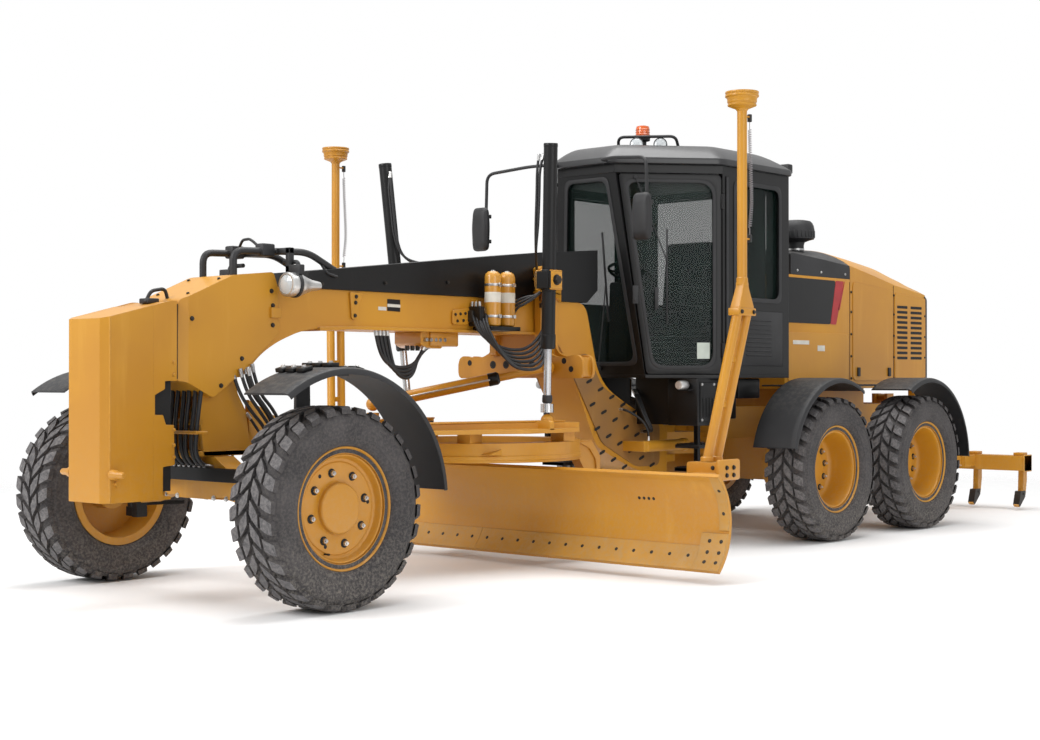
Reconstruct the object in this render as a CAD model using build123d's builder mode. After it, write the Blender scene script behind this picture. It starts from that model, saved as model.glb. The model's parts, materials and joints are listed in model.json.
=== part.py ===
from build123d import *
import os
from math import atan2, cos, degrees, hypot, pi, radians, sin, tan

# Motor grader, in millimetres: +X forward, +Y to the machine's left, +Z up.
# The origin is on the ground, under the middle of the machine's outline.
# Places along the machine are distances behind the front axle.
os.makedirs("parts", exist_ok=True)

# Overall sizes
front_overhang = 900
wheelbase = 6123
rear_overhang = 3327
machine_length = front_overhang + wheelbase + rear_overhang
front_axle_x = machine_length / 2 - front_overhang
rear_end_x = -machine_length / 2
tandem_spacing = 1523
half_track = 1087
seat_gap = 0.3
swing_gap = 6

# Tyres and rims
tyre_radius = 585
tyre_half_width = 184
lug_height = 25
lug_count = 20
lug_width = 86
lug_slant = 24
bead_radius = 317
flange_radius = 352
rim_half_width = 150
rim_wall = 14
flange_thickness = 15
front_disc_recess = 70
rear_disc_recess = 250
disc_thickness = 20
hub_cap_radius = 148
hub_cap_height = 34
hub_radius = 120

# Front axle, wheel lean and steering
axle_height = tyre_radius
axle_beam_x = front_axle_x + 35
axle_beam_half = 75
lean_pivot_y = 600
lean_pivot_z = axle_height
king_pin_y = 780
lean_bar_z = 745
lean_bar_x = front_axle_x + 150
steer_arm_back = 260
steer_arm_y = 680
steer_arm_drop = 42
steer_rod_radius = 16
steer_barrel_end_y = 430
front_fender_radius = 790
rear_fender_radius = 728
fender_width = 388
fender_thickness = 14

# Main frame
beam_half_width = 180
counterweight_back_x = front_axle_x + 395
beam_bottom_z = 1655
bolster_bottom_z = 850
web_top_z = 1900
hitch_x = front_axle_x - 4600
saddle_x = front_axle_x - 2930
artic_z = 790
artic_y = 360
artic_front_x = front_axle_x - 3950
artic_barrel_end_x = front_axle_x - 4480
artic_eye_x = hitch_x - 200
artic_rod_radius = 18

# Blade group
ball_x = front_axle_x - 420
ball_z = 990
circle_x = front_axle_x - 2390
circle_radius = 765
circle_bottom_z = 745
circle_top_z = 880
drawbar_bottom_z = 905
drawbar_top_z = 1075
blade_length = 4268
blade_bottom_z = 90
blade_height = 600
blade_curve_radius = 413
blade_thickness = 26
blade_front_x = front_axle_x - 2380
tip_pivot_x = front_axle_x - 2830
tip_pivot_z = 300
mast_x = front_axle_x - 2840
mast_y = blade_length / 2 - 124
mast_top_z = 3230

# Lift cylinders
lift_top = (front_axle_x - 2270, 823, 2940)
lift_eye = (front_axle_x - 2390, 686, 1085)
lift_barrel_end_share = 0.76
lift_barrel_radius = 48
lift_rod_radius = 27
stud_gap = 10

# Cab
cab_front_x = front_axle_x - 3650
cab_corner_x = front_axle_x - 4300
cab_rear_x = front_axle_x - 5250
cab_nose_y = 280
cab_half_width = 850
cab_floor_z = 1350
floor_thickness = 25
eave_z = 2980
roof_top_z = 3150
cab_wall = 60
window_sill_z = 1500
glass_thickness = 10

# Rear frame and hood
hood_front_x = front_axle_x - 5660
hood_step_x = front_axle_x - 6745
hood_rear_x = front_axle_x - 8170
hood_half_width = 550
hood_bottom_z = 1230
hood_wall = 30
mid_axle_x = front_axle_x - wheelbase + tandem_spacing / 2
rear_axle_x = front_axle_x - wheelbase - tandem_spacing / 2
tandem_x = front_axle_x - wheelbase
tandem_inner_y = 640
tandem_outer_y = 860
ripper_pivot_x = rear_end_x + 1070
ripper_pivot_z = 620
ripper_beam_x = rear_end_x + 110
ripper_beam_z = 470
ripper_top = (ripper_pivot_x + 30, 0, 1130)
ripper_eye = (ripper_beam_x + 370, 0, ripper_beam_z + 150)
ripper_hinge_x = ripper_beam_x + 255
ripper_upper_x = ripper_pivot_x
ripper_upper_z = 880
ripper_ear_y = 55


def block(x, y, z, mode=Mode.ADD):
    """A box over three (low, high) spans, in the open part."""
    with Locations(((x[0] + x[1]) / 2, (y[0] + y[1]) / 2, (z[0] + z[1]) / 2)):
        Box(x[1] - x[0], y[1] - y[0], z[1] - z[0], mode=mode)


def side_plate(points, y, mode=Mode.ADD):
    """An outline in (x, z), straight across from y[0] to y[1]."""
    with BuildSketch(Plane.XZ.offset(-y[0])) as outline:
        with BuildLine():
            Polyline(*points, close=True)
        make_face()
    extrude(outline.sketch, amount=y[0] - y[1], mode=mode)


def floor_plate(points, z, mode=Mode.ADD):
    """An outline in (x, y), straight up from z[0] to z[1]."""
    with BuildSketch(Plane.XY.offset(z[0])) as outline:
        with BuildLine():
            Polyline(*points, close=True)
        make_face()
    extrude(outline.sketch, amount=z[1] - z[0], mode=mode)


def cross_plate(points, x, mode=Mode.ADD):
    """An outline in (y, z), straight along from x[0] to x[1]."""
    with BuildSketch(Plane.YZ.offset(x[0])) as outline:
        with BuildLine():
            Polyline(*points, close=True)
        make_face()
    extrude(outline.sketch, amount=x[1] - x[0], mode=mode)


def bar(start, end, radius, mode=Mode.ADD):
    """A round bar from one point to another."""
    run = Vector(*end) - Vector(*start)
    with BuildSketch(Plane(origin=start, z_dir=run)) as section:
        Circle(radius)
    extrude(section.sketch, amount=run.length, mode=mode)


def bent_bar(points, radius, bend):
    """A round bar along runs joined by arcs."""
    with BuildLine() as path:
        FilletPolyline(*points, radius=bend)
    with BuildSketch(Plane(origin=path.line @ 0, z_dir=path.line % 0)) as section:
        Circle(radius)
    sweep(section.sketch, path=path.line)


def between(start, end, share):
    """The point at a share of the way from start to end."""
    return tuple(a + (b - a) * share for a, b in zip(start, end))


def arch(centre_x, centre_z, radius, thickness, start, sweep_angle, y):
    """A curved fender plate about a wheel's axis, angles from straight ahead."""
    with BuildSketch(Plane.XZ.offset(-y[0])) as band:
        with BuildLine():
            outer = CenterArc((centre_x, centre_z), radius, start, sweep_angle)
            inner = CenterArc((centre_x, centre_z), radius - thickness, start, sweep_angle)
            Line(outer @ 0, inner @ 0)
            Line(outer @ 1, inner @ 1)
        make_face()
    extrude(band.sketch, amount=y[0] - y[1])


# Wheels: each is made once, on the Z axis with its outer side up, then placed
with BuildPart() as tyre_form:
    casing_radius = tyre_radius - lug_height
    with BuildSketch(Plane.XZ):
        with BuildLine():
            Polyline(
                (bead_radius + seat_gap, rim_half_width - flange_thickness),
                (flange_radius, rim_half_width - flange_thickness),
                (flange_radius + 4, rim_half_width),
                (flange_radius + 45, tyre_half_width - 8),
                (flange_radius + 120, tyre_half_width),
                (casing_radius - 15, tyre_half_width - 14),
                (casing_radius, tyre_half_width - 36),
                (casing_radius, -tyre_half_width + 36),
                (casing_radius - 15, -tyre_half_width + 14),
                (flange_radius + 120, -tyre_half_width),
                (flange_radius + 45, -tyre_half_width + 8),
                (flange_radius + 4, -rim_half_width),
                (flange_radius, -rim_half_width + flange_thickness),
                (bead_radius + seat_gap, -rim_half_width + flange_thickness),
                close=True,
            )
        make_face()
    revolve(axis=Axis.Z)
    lug_length = tyre_half_width - 14
    lug_depth = lug_height + 30
    for side, first in ((1, 0), (-1, 180 / lug_count)):
        with Locations((0, 0, side * (8 + lug_length / 2))):
            with PolarLocations(tyre_radius - lug_depth / 2, lug_count, start_angle=first):
                Box(lug_depth, lug_width, lug_length, rotation=(side * lug_slant, 0, 0))
    with BuildSketch(Plane.XY.offset(-tyre_half_width)):
        RegularPolygon(tyre_radius, 2 * lug_count, major_radius=False, rotation=180 / (2 * lug_count))
    extrude(amount=2 * tyre_half_width, mode=Mode.INTERSECT)


def rim(disc_recess, hub_back):
    """A rim with its disc set back from the outer lip, and its hub."""
    disc_z = rim_half_width - disc_recess
    with BuildPart() as form:
        with BuildSketch(Plane.XZ):
            with BuildLine():
                Polyline(
                    (flange_radius, rim_half_width),
                    (flange_radius, rim_half_width - flange_thickness),
                    (bead_radius, rim_half_width - flange_thickness),
                    (bead_radius, -rim_half_width + flange_thickness),
                    (flange_radius, -rim_half_width + flange_thickness),
                    (flange_radius, -rim_half_width),
                    (bead_radius - rim_wall, -rim_half_width),
                    (bead_radius - rim_wall, disc_z - disc_thickness),
                    (hub_radius, disc_z - disc_thickness),
                    (hub_radius, hub_back),
                    (0, hub_back),
                    (0, disc_z + hub_cap_height),
                    (hub_cap_radius - 12, disc_z + hub_cap_height),
                    (hub_cap_radius, disc_z + hub_cap_height - 12),
                    (hub_cap_radius, disc_z),
                    (bead_radius - rim_wall, disc_z),
                    (bead_radius - rim_wall, rim_half_width - 20),
                    (flange_radius - 20, rim_half_width),
                    close=True,
                )
            make_face()
        revolve(axis=Axis.Z)
    return form.part


front_hub_back = -60
rear_hub_back = rim_half_width - rear_disc_recess - disc_thickness - 15
front_rim_form = rim(front_disc_recess, front_hub_back)
rear_rim_form = rim(rear_disc_recess, rear_hub_back)

# Columns: name, x, side (+1 left), rim
wheel_table = (
    ("front_left", front_axle_x, 1, front_rim_form),
    ("front_right", front_axle_x, -1, front_rim_form),
    ("mid_left", mid_axle_x, 1, rear_rim_form),
    ("mid_right", mid_axle_x, -1, rear_rim_form),
    ("rear_left", rear_axle_x, 1, rear_rim_form),
    ("rear_right", rear_axle_x, -1, rear_rim_form),
)
for wheel_name, wheel_x, side, rim_form in wheel_table:
    wheel_place = Location((wheel_x, side * half_track, axle_height), (-90 * side, 0, 0))
    with BuildPart() as tyre:
        add(tyre_form.part.moved(wheel_place))
    tyre.part.label = f"tyre_{wheel_name}"
    export_step(tyre.part, f"parts/tyre_{wheel_name}.step")
    with BuildPart() as wheel_rim:
        add(rim_form.moved(wheel_place))
    wheel_rim.part.label = f"rim_{wheel_name}"
    export_step(wheel_rim.part, f"parts/rim_{wheel_name}.step")

# Main frame: gooseneck, beam, and the back that drops under the cab to the hitch
with BuildPart() as main_frame:
    side_plate(
        [
            (counterweight_back_x - seat_gap, 1330),
            (counterweight_back_x - seat_gap, 1705),
            (front_axle_x, 1900),
            (front_axle_x - 360, web_top_z),
            (front_axle_x - 3430, web_top_z),
            (front_axle_x - 3600, 1290),
            (front_axle_x - 4020, 1080),
            (front_axle_x - 4480, 930),
            (front_axle_x - 4480, 560),
            (front_axle_x - 4090, 575),
            (front_axle_x - 3560, 790),
            (front_axle_x - 3500, 900),
            (front_axle_x - 3250, 1400),
            (front_axle_x - 3050, beam_bottom_z),
            (front_axle_x - 980, beam_bottom_z),
            (front_axle_x - 560, 1600),
            (front_axle_x - 245, 1500),
            (front_axle_x - 100, 1330),
        ],
        (-beam_half_width, beam_half_width),
    )
    # Bolster down to the front axle, open behind for the drawbar's ball
    block((front_axle_x - 220, front_axle_x + 220), (-150, 150), (bolster_bottom_z, 1340))
    for side in (-1, 1):
        cheek_y = sorted((side * (75 + seat_gap), side * 115))
        side_plate(
            [
                (front_axle_x - 210, ball_z - 110),
                (front_axle_x - 470, ball_z - 70),
                (front_axle_x - 470, ball_z + 70),
                (front_axle_x - 210, ball_z + 200),
            ],
            cheek_y,
        )
    # Hitch ears
    hitch_ear_z = ((640, 700), (880, 940))
    for ear_z in hitch_ear_z:
        block((hitch_x - 110, front_axle_x - 4470), (-130, 130), ear_z)
    # Articulation cylinders' barrels beside the frame
    for side in (-1, 1):
        bracket_y = sorted((side * beam_half_width, side * (artic_y + 40)))
        block((artic_front_x, artic_front_x + 70), bracket_y, (artic_z - 40, artic_z + 40))
        bar((artic_front_x + 20, side * artic_y, artic_z), (artic_barrel_end_x, side * artic_y, artic_z), 45)
        bar(
            (artic_front_x - 40, side * artic_y, artic_z),
            (artic_barrel_end_x, side * artic_y, artic_z),
            artic_rod_radius + seat_gap,
            Mode.SUBTRACT,
        )
main_frame.part.label = "main_frame"
export_step(main_frame.part, "parts/main_frame.step")

cover_outline = [
    (front_axle_x - 600, web_top_z),
    (front_axle_x - 640, 2010),
    (front_axle_x - 2875, 2255),
    (front_axle_x - 3560, 2310),
    (front_axle_x - 3560, 2000),
    (front_axle_x - 3430, web_top_z),
]
with BuildPart() as beam_cover:
    side_plate(cover_outline, (-beam_half_width - 15, beam_half_width + 15))
beam_cover.part.label = "beam_cover"
export_step(beam_cover.part, "parts/beam_cover.step")

# Yellow housing over the frame's nose
nose_outline = [
    (front_axle_x + 376, 1790),
    (front_axle_x - 11, 1954),
    (front_axle_x - 324, 1987),
    (front_axle_x - 360, 1895),
    (front_axle_x - 372, 1607),
    (front_axle_x - 244, 1500),
    (front_axle_x - 96, 1375),
    (front_axle_x + 140, 1205),
    (front_axle_x + 335, 1303),
    (front_axle_x + 390, 1310),
]
with BuildPart() as nose_housing:
    side_plate(nose_outline, (-215, 215))
    block((front_axle_x - 400, front_axle_x + 400), (-beam_half_width, beam_half_width), (1000, 1912), Mode.SUBTRACT)
nose_housing.part.label = "nose_housing"
export_step(nose_housing.part, "parts/nose_housing.step")

with BuildPart() as counterweight:
    side_plate(
        [
            (front_axle_x + front_overhang, 610),
            (front_axle_x + front_overhang, 1670),
            (front_axle_x + 440, 1785),
            (counterweight_back_x, 1785),
            (counterweight_back_x, 1200),
            (front_axle_x + 430, 1200),
            (front_axle_x + 430, 610),
        ],
        (-200, 200),
    )
    chamfer(counterweight.edges().filter_by(Axis.Z).group_by(Axis.X)[-1], 25)
counterweight.part.label = "counterweight"
export_step(counterweight.part, "parts/counterweight.step")

# Saddle: the link bar under the beam and the arms up to the lift cylinders
trunnion = between(lift_top, lift_eye, 0.505)
with BuildPart() as saddle:
    block((saddle_x - 70, saddle_x + 70), (-620, 620), (1320, 1490))
    for side in (-1, 1):
        side_y = sorted((side * (beam_half_width + 15), side * (beam_half_width + 75)))
        block((saddle_x - 90, saddle_x + 110), side_y, (1490, 2080))
        arm_inner = side * (beam_half_width + 15)
        arm_outer = side * (trunnion[1] - 70)
        floor_plate(
            [
                (saddle_x - 80, arm_inner),
                (saddle_x + 140, arm_inner),
                (trunnion[0] + 70, arm_outer),
                (trunnion[0] - 70, arm_outer),
                (saddle_x - 80, side * (beam_half_width + 120)),
            ],
            (trunnion[2] - 60, trunnion[2] + 60),
        )
saddle.part.label = "saddle"
export_step(saddle.part, "parts/saddle.step")

# Lift cylinders: barrels with their trunnion blocks, and the rods that slide in them
rod_bore = lift_rod_radius + seat_gap
barrel_end = between(lift_top, lift_eye, lift_barrel_end_share)
bore_top = between(lift_top, lift_eye, 0.04)
with BuildPart() as lift_barrels:
    for flip in (1, -1):
        top = (lift_top[0], flip * lift_top[1], lift_top[2])
        end = (barrel_end[0], flip * barrel_end[1], barrel_end[2])
        bore_start = (bore_top[0], flip * bore_top[1], bore_top[2])
        bar(top, end, lift_barrel_radius)
        block_y = sorted((flip * (trunnion[1] - 70), flip * (trunnion[1] + 70)))
        block((trunnion[0] - 70, trunnion[0] + 70), block_y, (trunnion[2] - 60, trunnion[2] + 60))
        bar(bore_start, end, rod_bore, Mode.SUBTRACT)
lift_barrels.part.label = "lift_barrels"
export_step(lift_barrels.part, "parts/lift_barrels.step")

rod_top = between(lift_top, lift_eye, 0.3)
for rod_name, flip in (("left", 1), ("right", -1)):
    with BuildPart() as lift_rod:
        eye = (lift_eye[0], flip * lift_eye[1], lift_eye[2])
        bar((rod_top[0], flip * rod_top[1], rod_top[2]), eye, lift_rod_radius)
        with BuildSketch(Plane.XY.offset(eye[2])):
            with Locations((eye[0], eye[1])):
                Circle(46)
        extrude(amount=60)
        block(
            (eye[0] - 60, eye[0] + 60),
            (eye[1] - 60, eye[1] + 60),
            (eye[2] - 60, eye[2]),
            Mode.SUBTRACT,
        )
    lift_rod.part.label = f"lift_rod_{rod_name}"
    export_step(lift_rod.part, f"parts/lift_rod_{rod_name}.step")

# Drawbar: nose, two beams and the plate over the circle, with a ball stud for each lift rod
shift_ball_radius = 50
shift_seat_gap = 12
shift_top = (saddle_x + 70 + shift_ball_radius + seat_gap, 330, 1400)
shift_low = (front_axle_x - 1900, -560, 1135)
stud_top_z = lift_eye[2] - stud_gap
plate_rear_x = circle_x - 230
with BuildPart() as drawbar:
    with BuildSketch(Plane.XZ.offset(-75)) as nose:
        with Locations((ball_x, ball_z)):
            Circle(55)
    extrude(nose.sketch, amount=150)
    floor_plate(
        [
            (ball_x, -70),
            (ball_x, 70),
            (ball_x - 80, 70),
            (circle_x + 560, 640),
            (circle_x + 300, 790),
            (plate_rear_x, 790),
            (plate_rear_x, -790),
            (circle_x + 300, -790),
            (circle_x + 560, -640),
            (ball_x - 80, -70),
        ],
        (drawbar_bottom_z + 40, drawbar_bottom_z + 70),
    )
    floor_plate(
        [
            (ball_x, -70),
            (ball_x, 70),
            (ball_x - 80, 70),
            (plate_rear_x, 790),
            (plate_rear_x, 650),
            (ball_x - 560, 95),
            (ball_x - 560, -95),
            (plate_rear_x, -650),
            (plate_rear_x, -790),
            (ball_x - 80, -70),
        ],
        (drawbar_bottom_z + 40, drawbar_top_z - 60),
    )
    for side in (-1, 1):
        stud_y = side * lift_eye[1]
        bar((lift_eye[0], stud_y, drawbar_bottom_z + 50), (lift_eye[0], stud_y, stud_top_z - 45), 30)
        with Locations((lift_eye[0], stud_y, stud_top_z - 45)):
            Sphere(45)
    # Seat of the centre-shift cylinder, and the shoes that hold the circle up
    bar(
        (shift_low[0], shift_low[1], drawbar_bottom_z + 50),
        (shift_low[0], shift_low[1], shift_low[2] - shift_ball_radius - shift_seat_gap),
        45,
    )
    for shoe_angle in (40, 105, 255, 320):
        shoe_x = circle_x + (circle_radius - 65) * cos(radians(shoe_angle))
        shoe_y = (circle_radius - 65) * sin(radians(shoe_angle))
        shoe_z = (circle_top_z + seat_gap, drawbar_bottom_z + 50)
        block((shoe_x - 60, shoe_x + 60), (shoe_y - 60, shoe_y + 60), shoe_z)
drawbar.part.label = "drawbar"
export_step(drawbar.part, "parts/drawbar.step")

# Circle: the ring with its inner teeth, and the two arms down behind the blade
ring_inner = circle_radius - 130
with BuildPart() as circle_ring:
    with BuildSketch(Plane.XY.offset(circle_bottom_z)):
        with Locations((circle_x, 0)):
            Circle(circle_radius)
            Circle(ring_inner, mode=Mode.SUBTRACT)
    extrude(amount=circle_top_z - circle_bottom_z)
    for side in (-1, 1):
        arm_y = sorted((side * 560, side * 640))
        side_plate(
            [
                (front_axle_x - 1850, circle_bottom_z + 60),
                (front_axle_x - 2090, circle_top_z - 5),
                (front_axle_x - 2940, circle_top_z - 5),
                (front_axle_x - 3035, 763),
                (front_axle_x - 3050, 560),
                (tip_pivot_x - 70, tip_pivot_z - 70),
                (tip_pivot_x + 60, tip_pivot_z - 70),
                (tip_pivot_x + 70, tip_pivot_z + 60),
                (front_axle_x - 2900, 600),
                (front_axle_x - 2800, circle_bottom_z),
            ],
            arm_y,
        )
circle_ring.part.label = "circle"
export_step(circle_ring.part, "parts/circle.step")

# The carrier that tips the blade: side plates on the arms' pivots, and slide shoes
carrier_front_x = blade_front_x - 180
with BuildPart() as blade_carrier:
    for side in (-1, 1):
        plate_y = sorted((side * (560 - seat_gap), side * 500))
        side_plate(
            [
                (tip_pivot_x - 60, tip_pivot_z - 60),
                (tip_pivot_x - 60, tip_pivot_z + 70),
                (carrier_front_x - 70, 600),
                (carrier_front_x, 600),
                (carrier_front_x, 200),
                (tip_pivot_x + 60, tip_pivot_z - 60),
            ],
            plate_y,
        )
    block((carrier_front_x - 110, carrier_front_x - 60), (-500, 500), (330, 430))
blade_carrier.part.label = "blade_carrier"
export_step(blade_carrier.part, "parts/blade_carrier.step")

# Moldboard: a curved plate, rails on its back, end bits and a cutting edge
blade_top_z = blade_bottom_z + blade_height
curve_centre_x = blade_front_x + (blade_curve_radius**2 - (blade_height / 2) ** 2) ** 0.5
curve_centre_z = blade_bottom_z + blade_height / 2
foot_plate_drop = 22
foot_plate_level = blade_height / 2 - foot_plate_drop
blade_back_x = curve_centre_x - ((blade_curve_radius + blade_thickness) ** 2 - foot_plate_level**2) ** 0.5
half_angle = degrees(atan2(blade_height / 2, curve_centre_x - blade_front_x))
with BuildPart() as moldboard:
    with BuildSketch(Plane.XZ.offset(-blade_length / 2)) as curve:
        with BuildLine():
            front = CenterArc(
                (curve_centre_x, curve_centre_z), blade_curve_radius, 180 - half_angle, 2 * half_angle
            )
            back = CenterArc(
                (curve_centre_x, curve_centre_z),
                blade_curve_radius + blade_thickness,
                180 - half_angle,
                2 * half_angle,
            )
            Line(front @ 0, back @ 0)
            Line(front @ 1, back @ 1)
        make_face()
    extrude(curve.sketch, amount=blade_length)
    for rail_z in (260, 520):
        block((carrier_front_x + seat_gap, carrier_front_x + 60), (-1500, 1500), (rail_z - 35, rail_z + 35))
moldboard.part.label = "moldboard"
export_step(moldboard.part, "parts/moldboard.step")

# Curly cords beside the mast poles, each as the tube that its coils fill
cord_x = mast_x - 90
cord_top_z = 3045
cord_low_z = 2280
cord_radius = 14
cord_points = (
    (cord_x, cord_top_z),
    (cord_x - 2, 2900),
    (cord_x - 16, 2680),
    (cord_x - 26, 2480),
    (cord_x - 4, 2350),
    (cord_x, cord_low_z),
)
for cord_name, side in (("left", 1), ("right", -1)):
    route = [(x, side * mast_y, z) for x, z in cord_points]
    bend_radii = []
    for before, corner, after in zip(route, route[1:], route[2:]):
        run_in = Vector(*corner) - Vector(*before)
        run_out = Vector(*after) - Vector(*corner)
        half_turn = radians(run_in.get_angle(run_out)) / 2
        bend_radii.append(0.45 * min(run_in.length, run_out.length) / tan(half_turn))
    print("cord radii", [round(radius) for radius in bend_radii])
    with BuildPart() as mast_cord:
        with BuildLine() as path:
            FilletPolyline(*route, radius=bend_radii)
        with BuildSketch(Plane(origin=path.line @ 0, z_dir=path.line % 0)) as section:
            Circle(cord_radius)
        sweep(section.sketch, path=path.line)
    print("cord length", path.wire().length, mast_cord.part.volume / (pi * cord_radius**2))
    mast_cord.part.label = f"mast_cord_{cord_name}"
    export_step(mast_cord.part, f"parts/mast_cord_{cord_name}.step")

# Masts on the blade: foot box, two raked legs, collar, cone, pole and head
with BuildPart() as masts:
    for side in (-1, 1):
        foot_y = sorted((side * (mast_y - 210), side * (mast_y + 40)))
        block((mast_x - 60, mast_x + 120), foot_y, (blade_top_z - 40, blade_top_z + 80))
        foot_plate_z = (blade_top_z - foot_plate_drop, blade_top_z - 2)
        block((mast_x + 60, blade_back_x - seat_gap), foot_y, foot_plate_z)
        for leg in (-55, 55):
            bar(
                (mast_x + leg, side * (mast_y - 60), blade_top_z + 60),
                (mast_x + leg, side * mast_y, 1760),
                33,
            )
        block((mast_x - 100, mast_x + 100), sorted((side * (mast_y - 45), side * (mast_y + 45))), (1740, 1790))
        with BuildSketch(Plane.XY.offset(1790)):
            with Locations((mast_x, side * mast_y)):
                Rectangle(170, 80)
        with BuildSketch(Plane.XY.offset(1960)):
            with Locations((mast_x, side * mast_y)):
                Rectangle(66, 66)
        loft()
        for start_z, end_z, radius in (
            (1950, mast_top_z, 33),
            (mast_top_z - 95, mast_top_z - 35, 95),
            (mast_top_z - 35, mast_top_z, 112),
        ):
            bar((mast_x, side * mast_y, start_z), (mast_x, side * mast_y, end_z), radius)
        # Sockets of the curly cord, on brackets from the pole
        for low_z, bracket_z in ((cord_top_z, cord_top_z + 20), (cord_low_z - 40, cord_low_z - 32)):
            block((cord_x - 10, mast_x - 20), sorted((side * (mast_y - 8), side * (mast_y + 8))), (bracket_z, bracket_z + 12))
            bar((cord_x, side * mast_y, low_z), (cord_x, side * mast_y, low_z + 40), 14)
masts.part.label = "masts"
export_step(masts.part, "parts/masts.step")

# Centre-shift cylinder from the link bar to the drawbar
shift_joint = between(shift_top, shift_low, 0.3)
with BuildPart() as centre_shift:
    bar(shift_joint, shift_low, 45)
    bar(shift_top, shift_joint, 28)
    for ball in (shift_top, shift_low):
        with Locations(ball):
            Sphere(shift_ball_radius)
centre_shift.part.label = "centre_shift_cylinder"
export_step(centre_shift.part, "parts/centre_shift_cylinder.step")

# Accumulators and valve blocks on the saddle's front
with BuildPart() as accumulators:
    for side in (-1, 1):
        for back in (2250, 2400):
            bar(
                (front_axle_x - back, side * 300, 1690),
                (front_axle_x - back, side * 300, 2090),
                58,
            )
        shelf_y = sorted((side * (beam_half_width + seat_gap), side * 360))
        block((front_axle_x - 2480, front_axle_x - 2170), shelf_y, (1660, 1690))
    block((front_axle_x - 2060, front_axle_x - 1780), (-150, 150), (1540, beam_bottom_z - seat_gap))
accumulators.part.label = "accumulators"
export_step(accumulators.part, "parts/accumulators.step")

# Front axle beam with the steering cylinders' barrels
steer_rod_x = front_axle_x - steer_arm_back
beam_end_y = lean_pivot_y - 40
beam_front_x = axle_beam_x + axle_beam_half
beam_back_x = axle_beam_x - axle_beam_half
fork_wall = 35
tongue_radius = lean_pivot_y - beam_end_y - 1
with BuildPart() as front_axle:
    cross_plate(
        [
            (-beam_end_y, lean_pivot_z - 50),
            (-300, lean_pivot_z + 20),
            (300, lean_pivot_z + 20),
            (beam_end_y, lean_pivot_z - 50),
            (beam_end_y, lean_pivot_z + 50),
            (180, bolster_bottom_z),
            (-180, bolster_bottom_z),
            (-beam_end_y, lean_pivot_z + 50),
        ],
        (beam_back_x, beam_front_x),
    )
    for side in (-1, 1):
        end_y = sorted((side * (beam_end_y - 10), side * (lean_pivot_y + 45)))
        for fork_x in ((beam_back_x, beam_back_x + fork_wall), (beam_front_x - fork_wall, beam_front_x)):
            block(fork_x, end_y, (lean_pivot_z - 45, lean_pivot_z + 45))
        bracket_y = sorted((side * 100, side * 180))
        block((steer_rod_x - 20, beam_back_x), bracket_y, (lean_pivot_z - 10, lean_pivot_z + 45))
        barrel_mouth = (steer_rod_x, side * steer_barrel_end_y, lean_pivot_z)
        bar((steer_rod_x, side * 6, lean_pivot_z), barrel_mouth, 36)
        bar((steer_rod_x, side * 12, lean_pivot_z), barrel_mouth, steer_rod_radius + seat_gap, Mode.SUBTRACT)
    block((beam_back_x, beam_front_x), (-180, 180), (lean_pivot_z + 5, bolster_bottom_z))
front_axle.part.label = "front_axle"
export_step(front_axle.part, "parts/front_axle.step")

# Lean yokes: a tongue in the beam's fork, a web, and two jaws over the knuckle
knuckle_half = 90
jaw_height = 60
web_inner_y = lean_pivot_y + 52
web_outer_y = king_pin_y - 72
for yoke_name, side in (("left", 1), ("right", -1)):
    with BuildPart() as yoke:
        web_y = sorted((side * web_inner_y, side * web_outer_y))
        web_top = axle_height + knuckle_half + jaw_height
        web_low = axle_height - knuckle_half - jaw_height
        block((front_axle_x, beam_front_x - fork_wall - seat_gap), web_y, (web_low, web_top))
        tongue_x = (beam_back_x + fork_wall + seat_gap, beam_front_x - fork_wall - seat_gap)
        tongue_y = sorted((side * lean_pivot_y, side * web_inner_y))
        block(tongue_x, tongue_y, (lean_pivot_z - tongue_radius, lean_pivot_z + tongue_radius))
        bar(
            (tongue_x[0], side * lean_pivot_y, lean_pivot_z),
            (tongue_x[1], side * lean_pivot_y, lean_pivot_z),
            tongue_radius,
        )
        jaw_y = sorted((side * web_outer_y, side * (king_pin_y + 40)))
        for jaw_z in (
            (axle_height + knuckle_half + seat_gap, web_top),
            (web_low, axle_height - knuckle_half - seat_gap),
        ):
            block((front_axle_x - 42, front_axle_x + 42), jaw_y, jaw_z)
        ear_y = sorted((side * (lean_pivot_y + 10), side * (lean_pivot_y + 90)))
        for ear_x in ((-52, -25 - seat_gap), (25 + seat_gap, 52)):
            block((lean_bar_x + ear_x[0], lean_bar_x + ear_x[1]), ear_y, (lean_bar_z - 55, lean_bar_z + 50))
        bridge_y = sorted((side * (lean_pivot_y + 70), side * web_outer_y))
        block((front_axle_x + 40, lean_bar_x + 52), bridge_y, (lean_bar_z - 55, lean_bar_z + 50))
    yoke.part.label = f"lean_yoke_{yoke_name}"
    export_step(yoke.part, f"parts/lean_yoke_{yoke_name}.step")

with BuildPart() as lean_bar:
    block(
        (lean_bar_x - 25, lean_bar_x + 25),
        (-lean_pivot_y - 40, lean_pivot_y + 40),
        (lean_bar_z - 40, lean_bar_z + 40),
    )
lean_bar.part.label = "lean_bar"
export_step(lean_bar.part, "parts/lean_bar.step")

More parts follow.
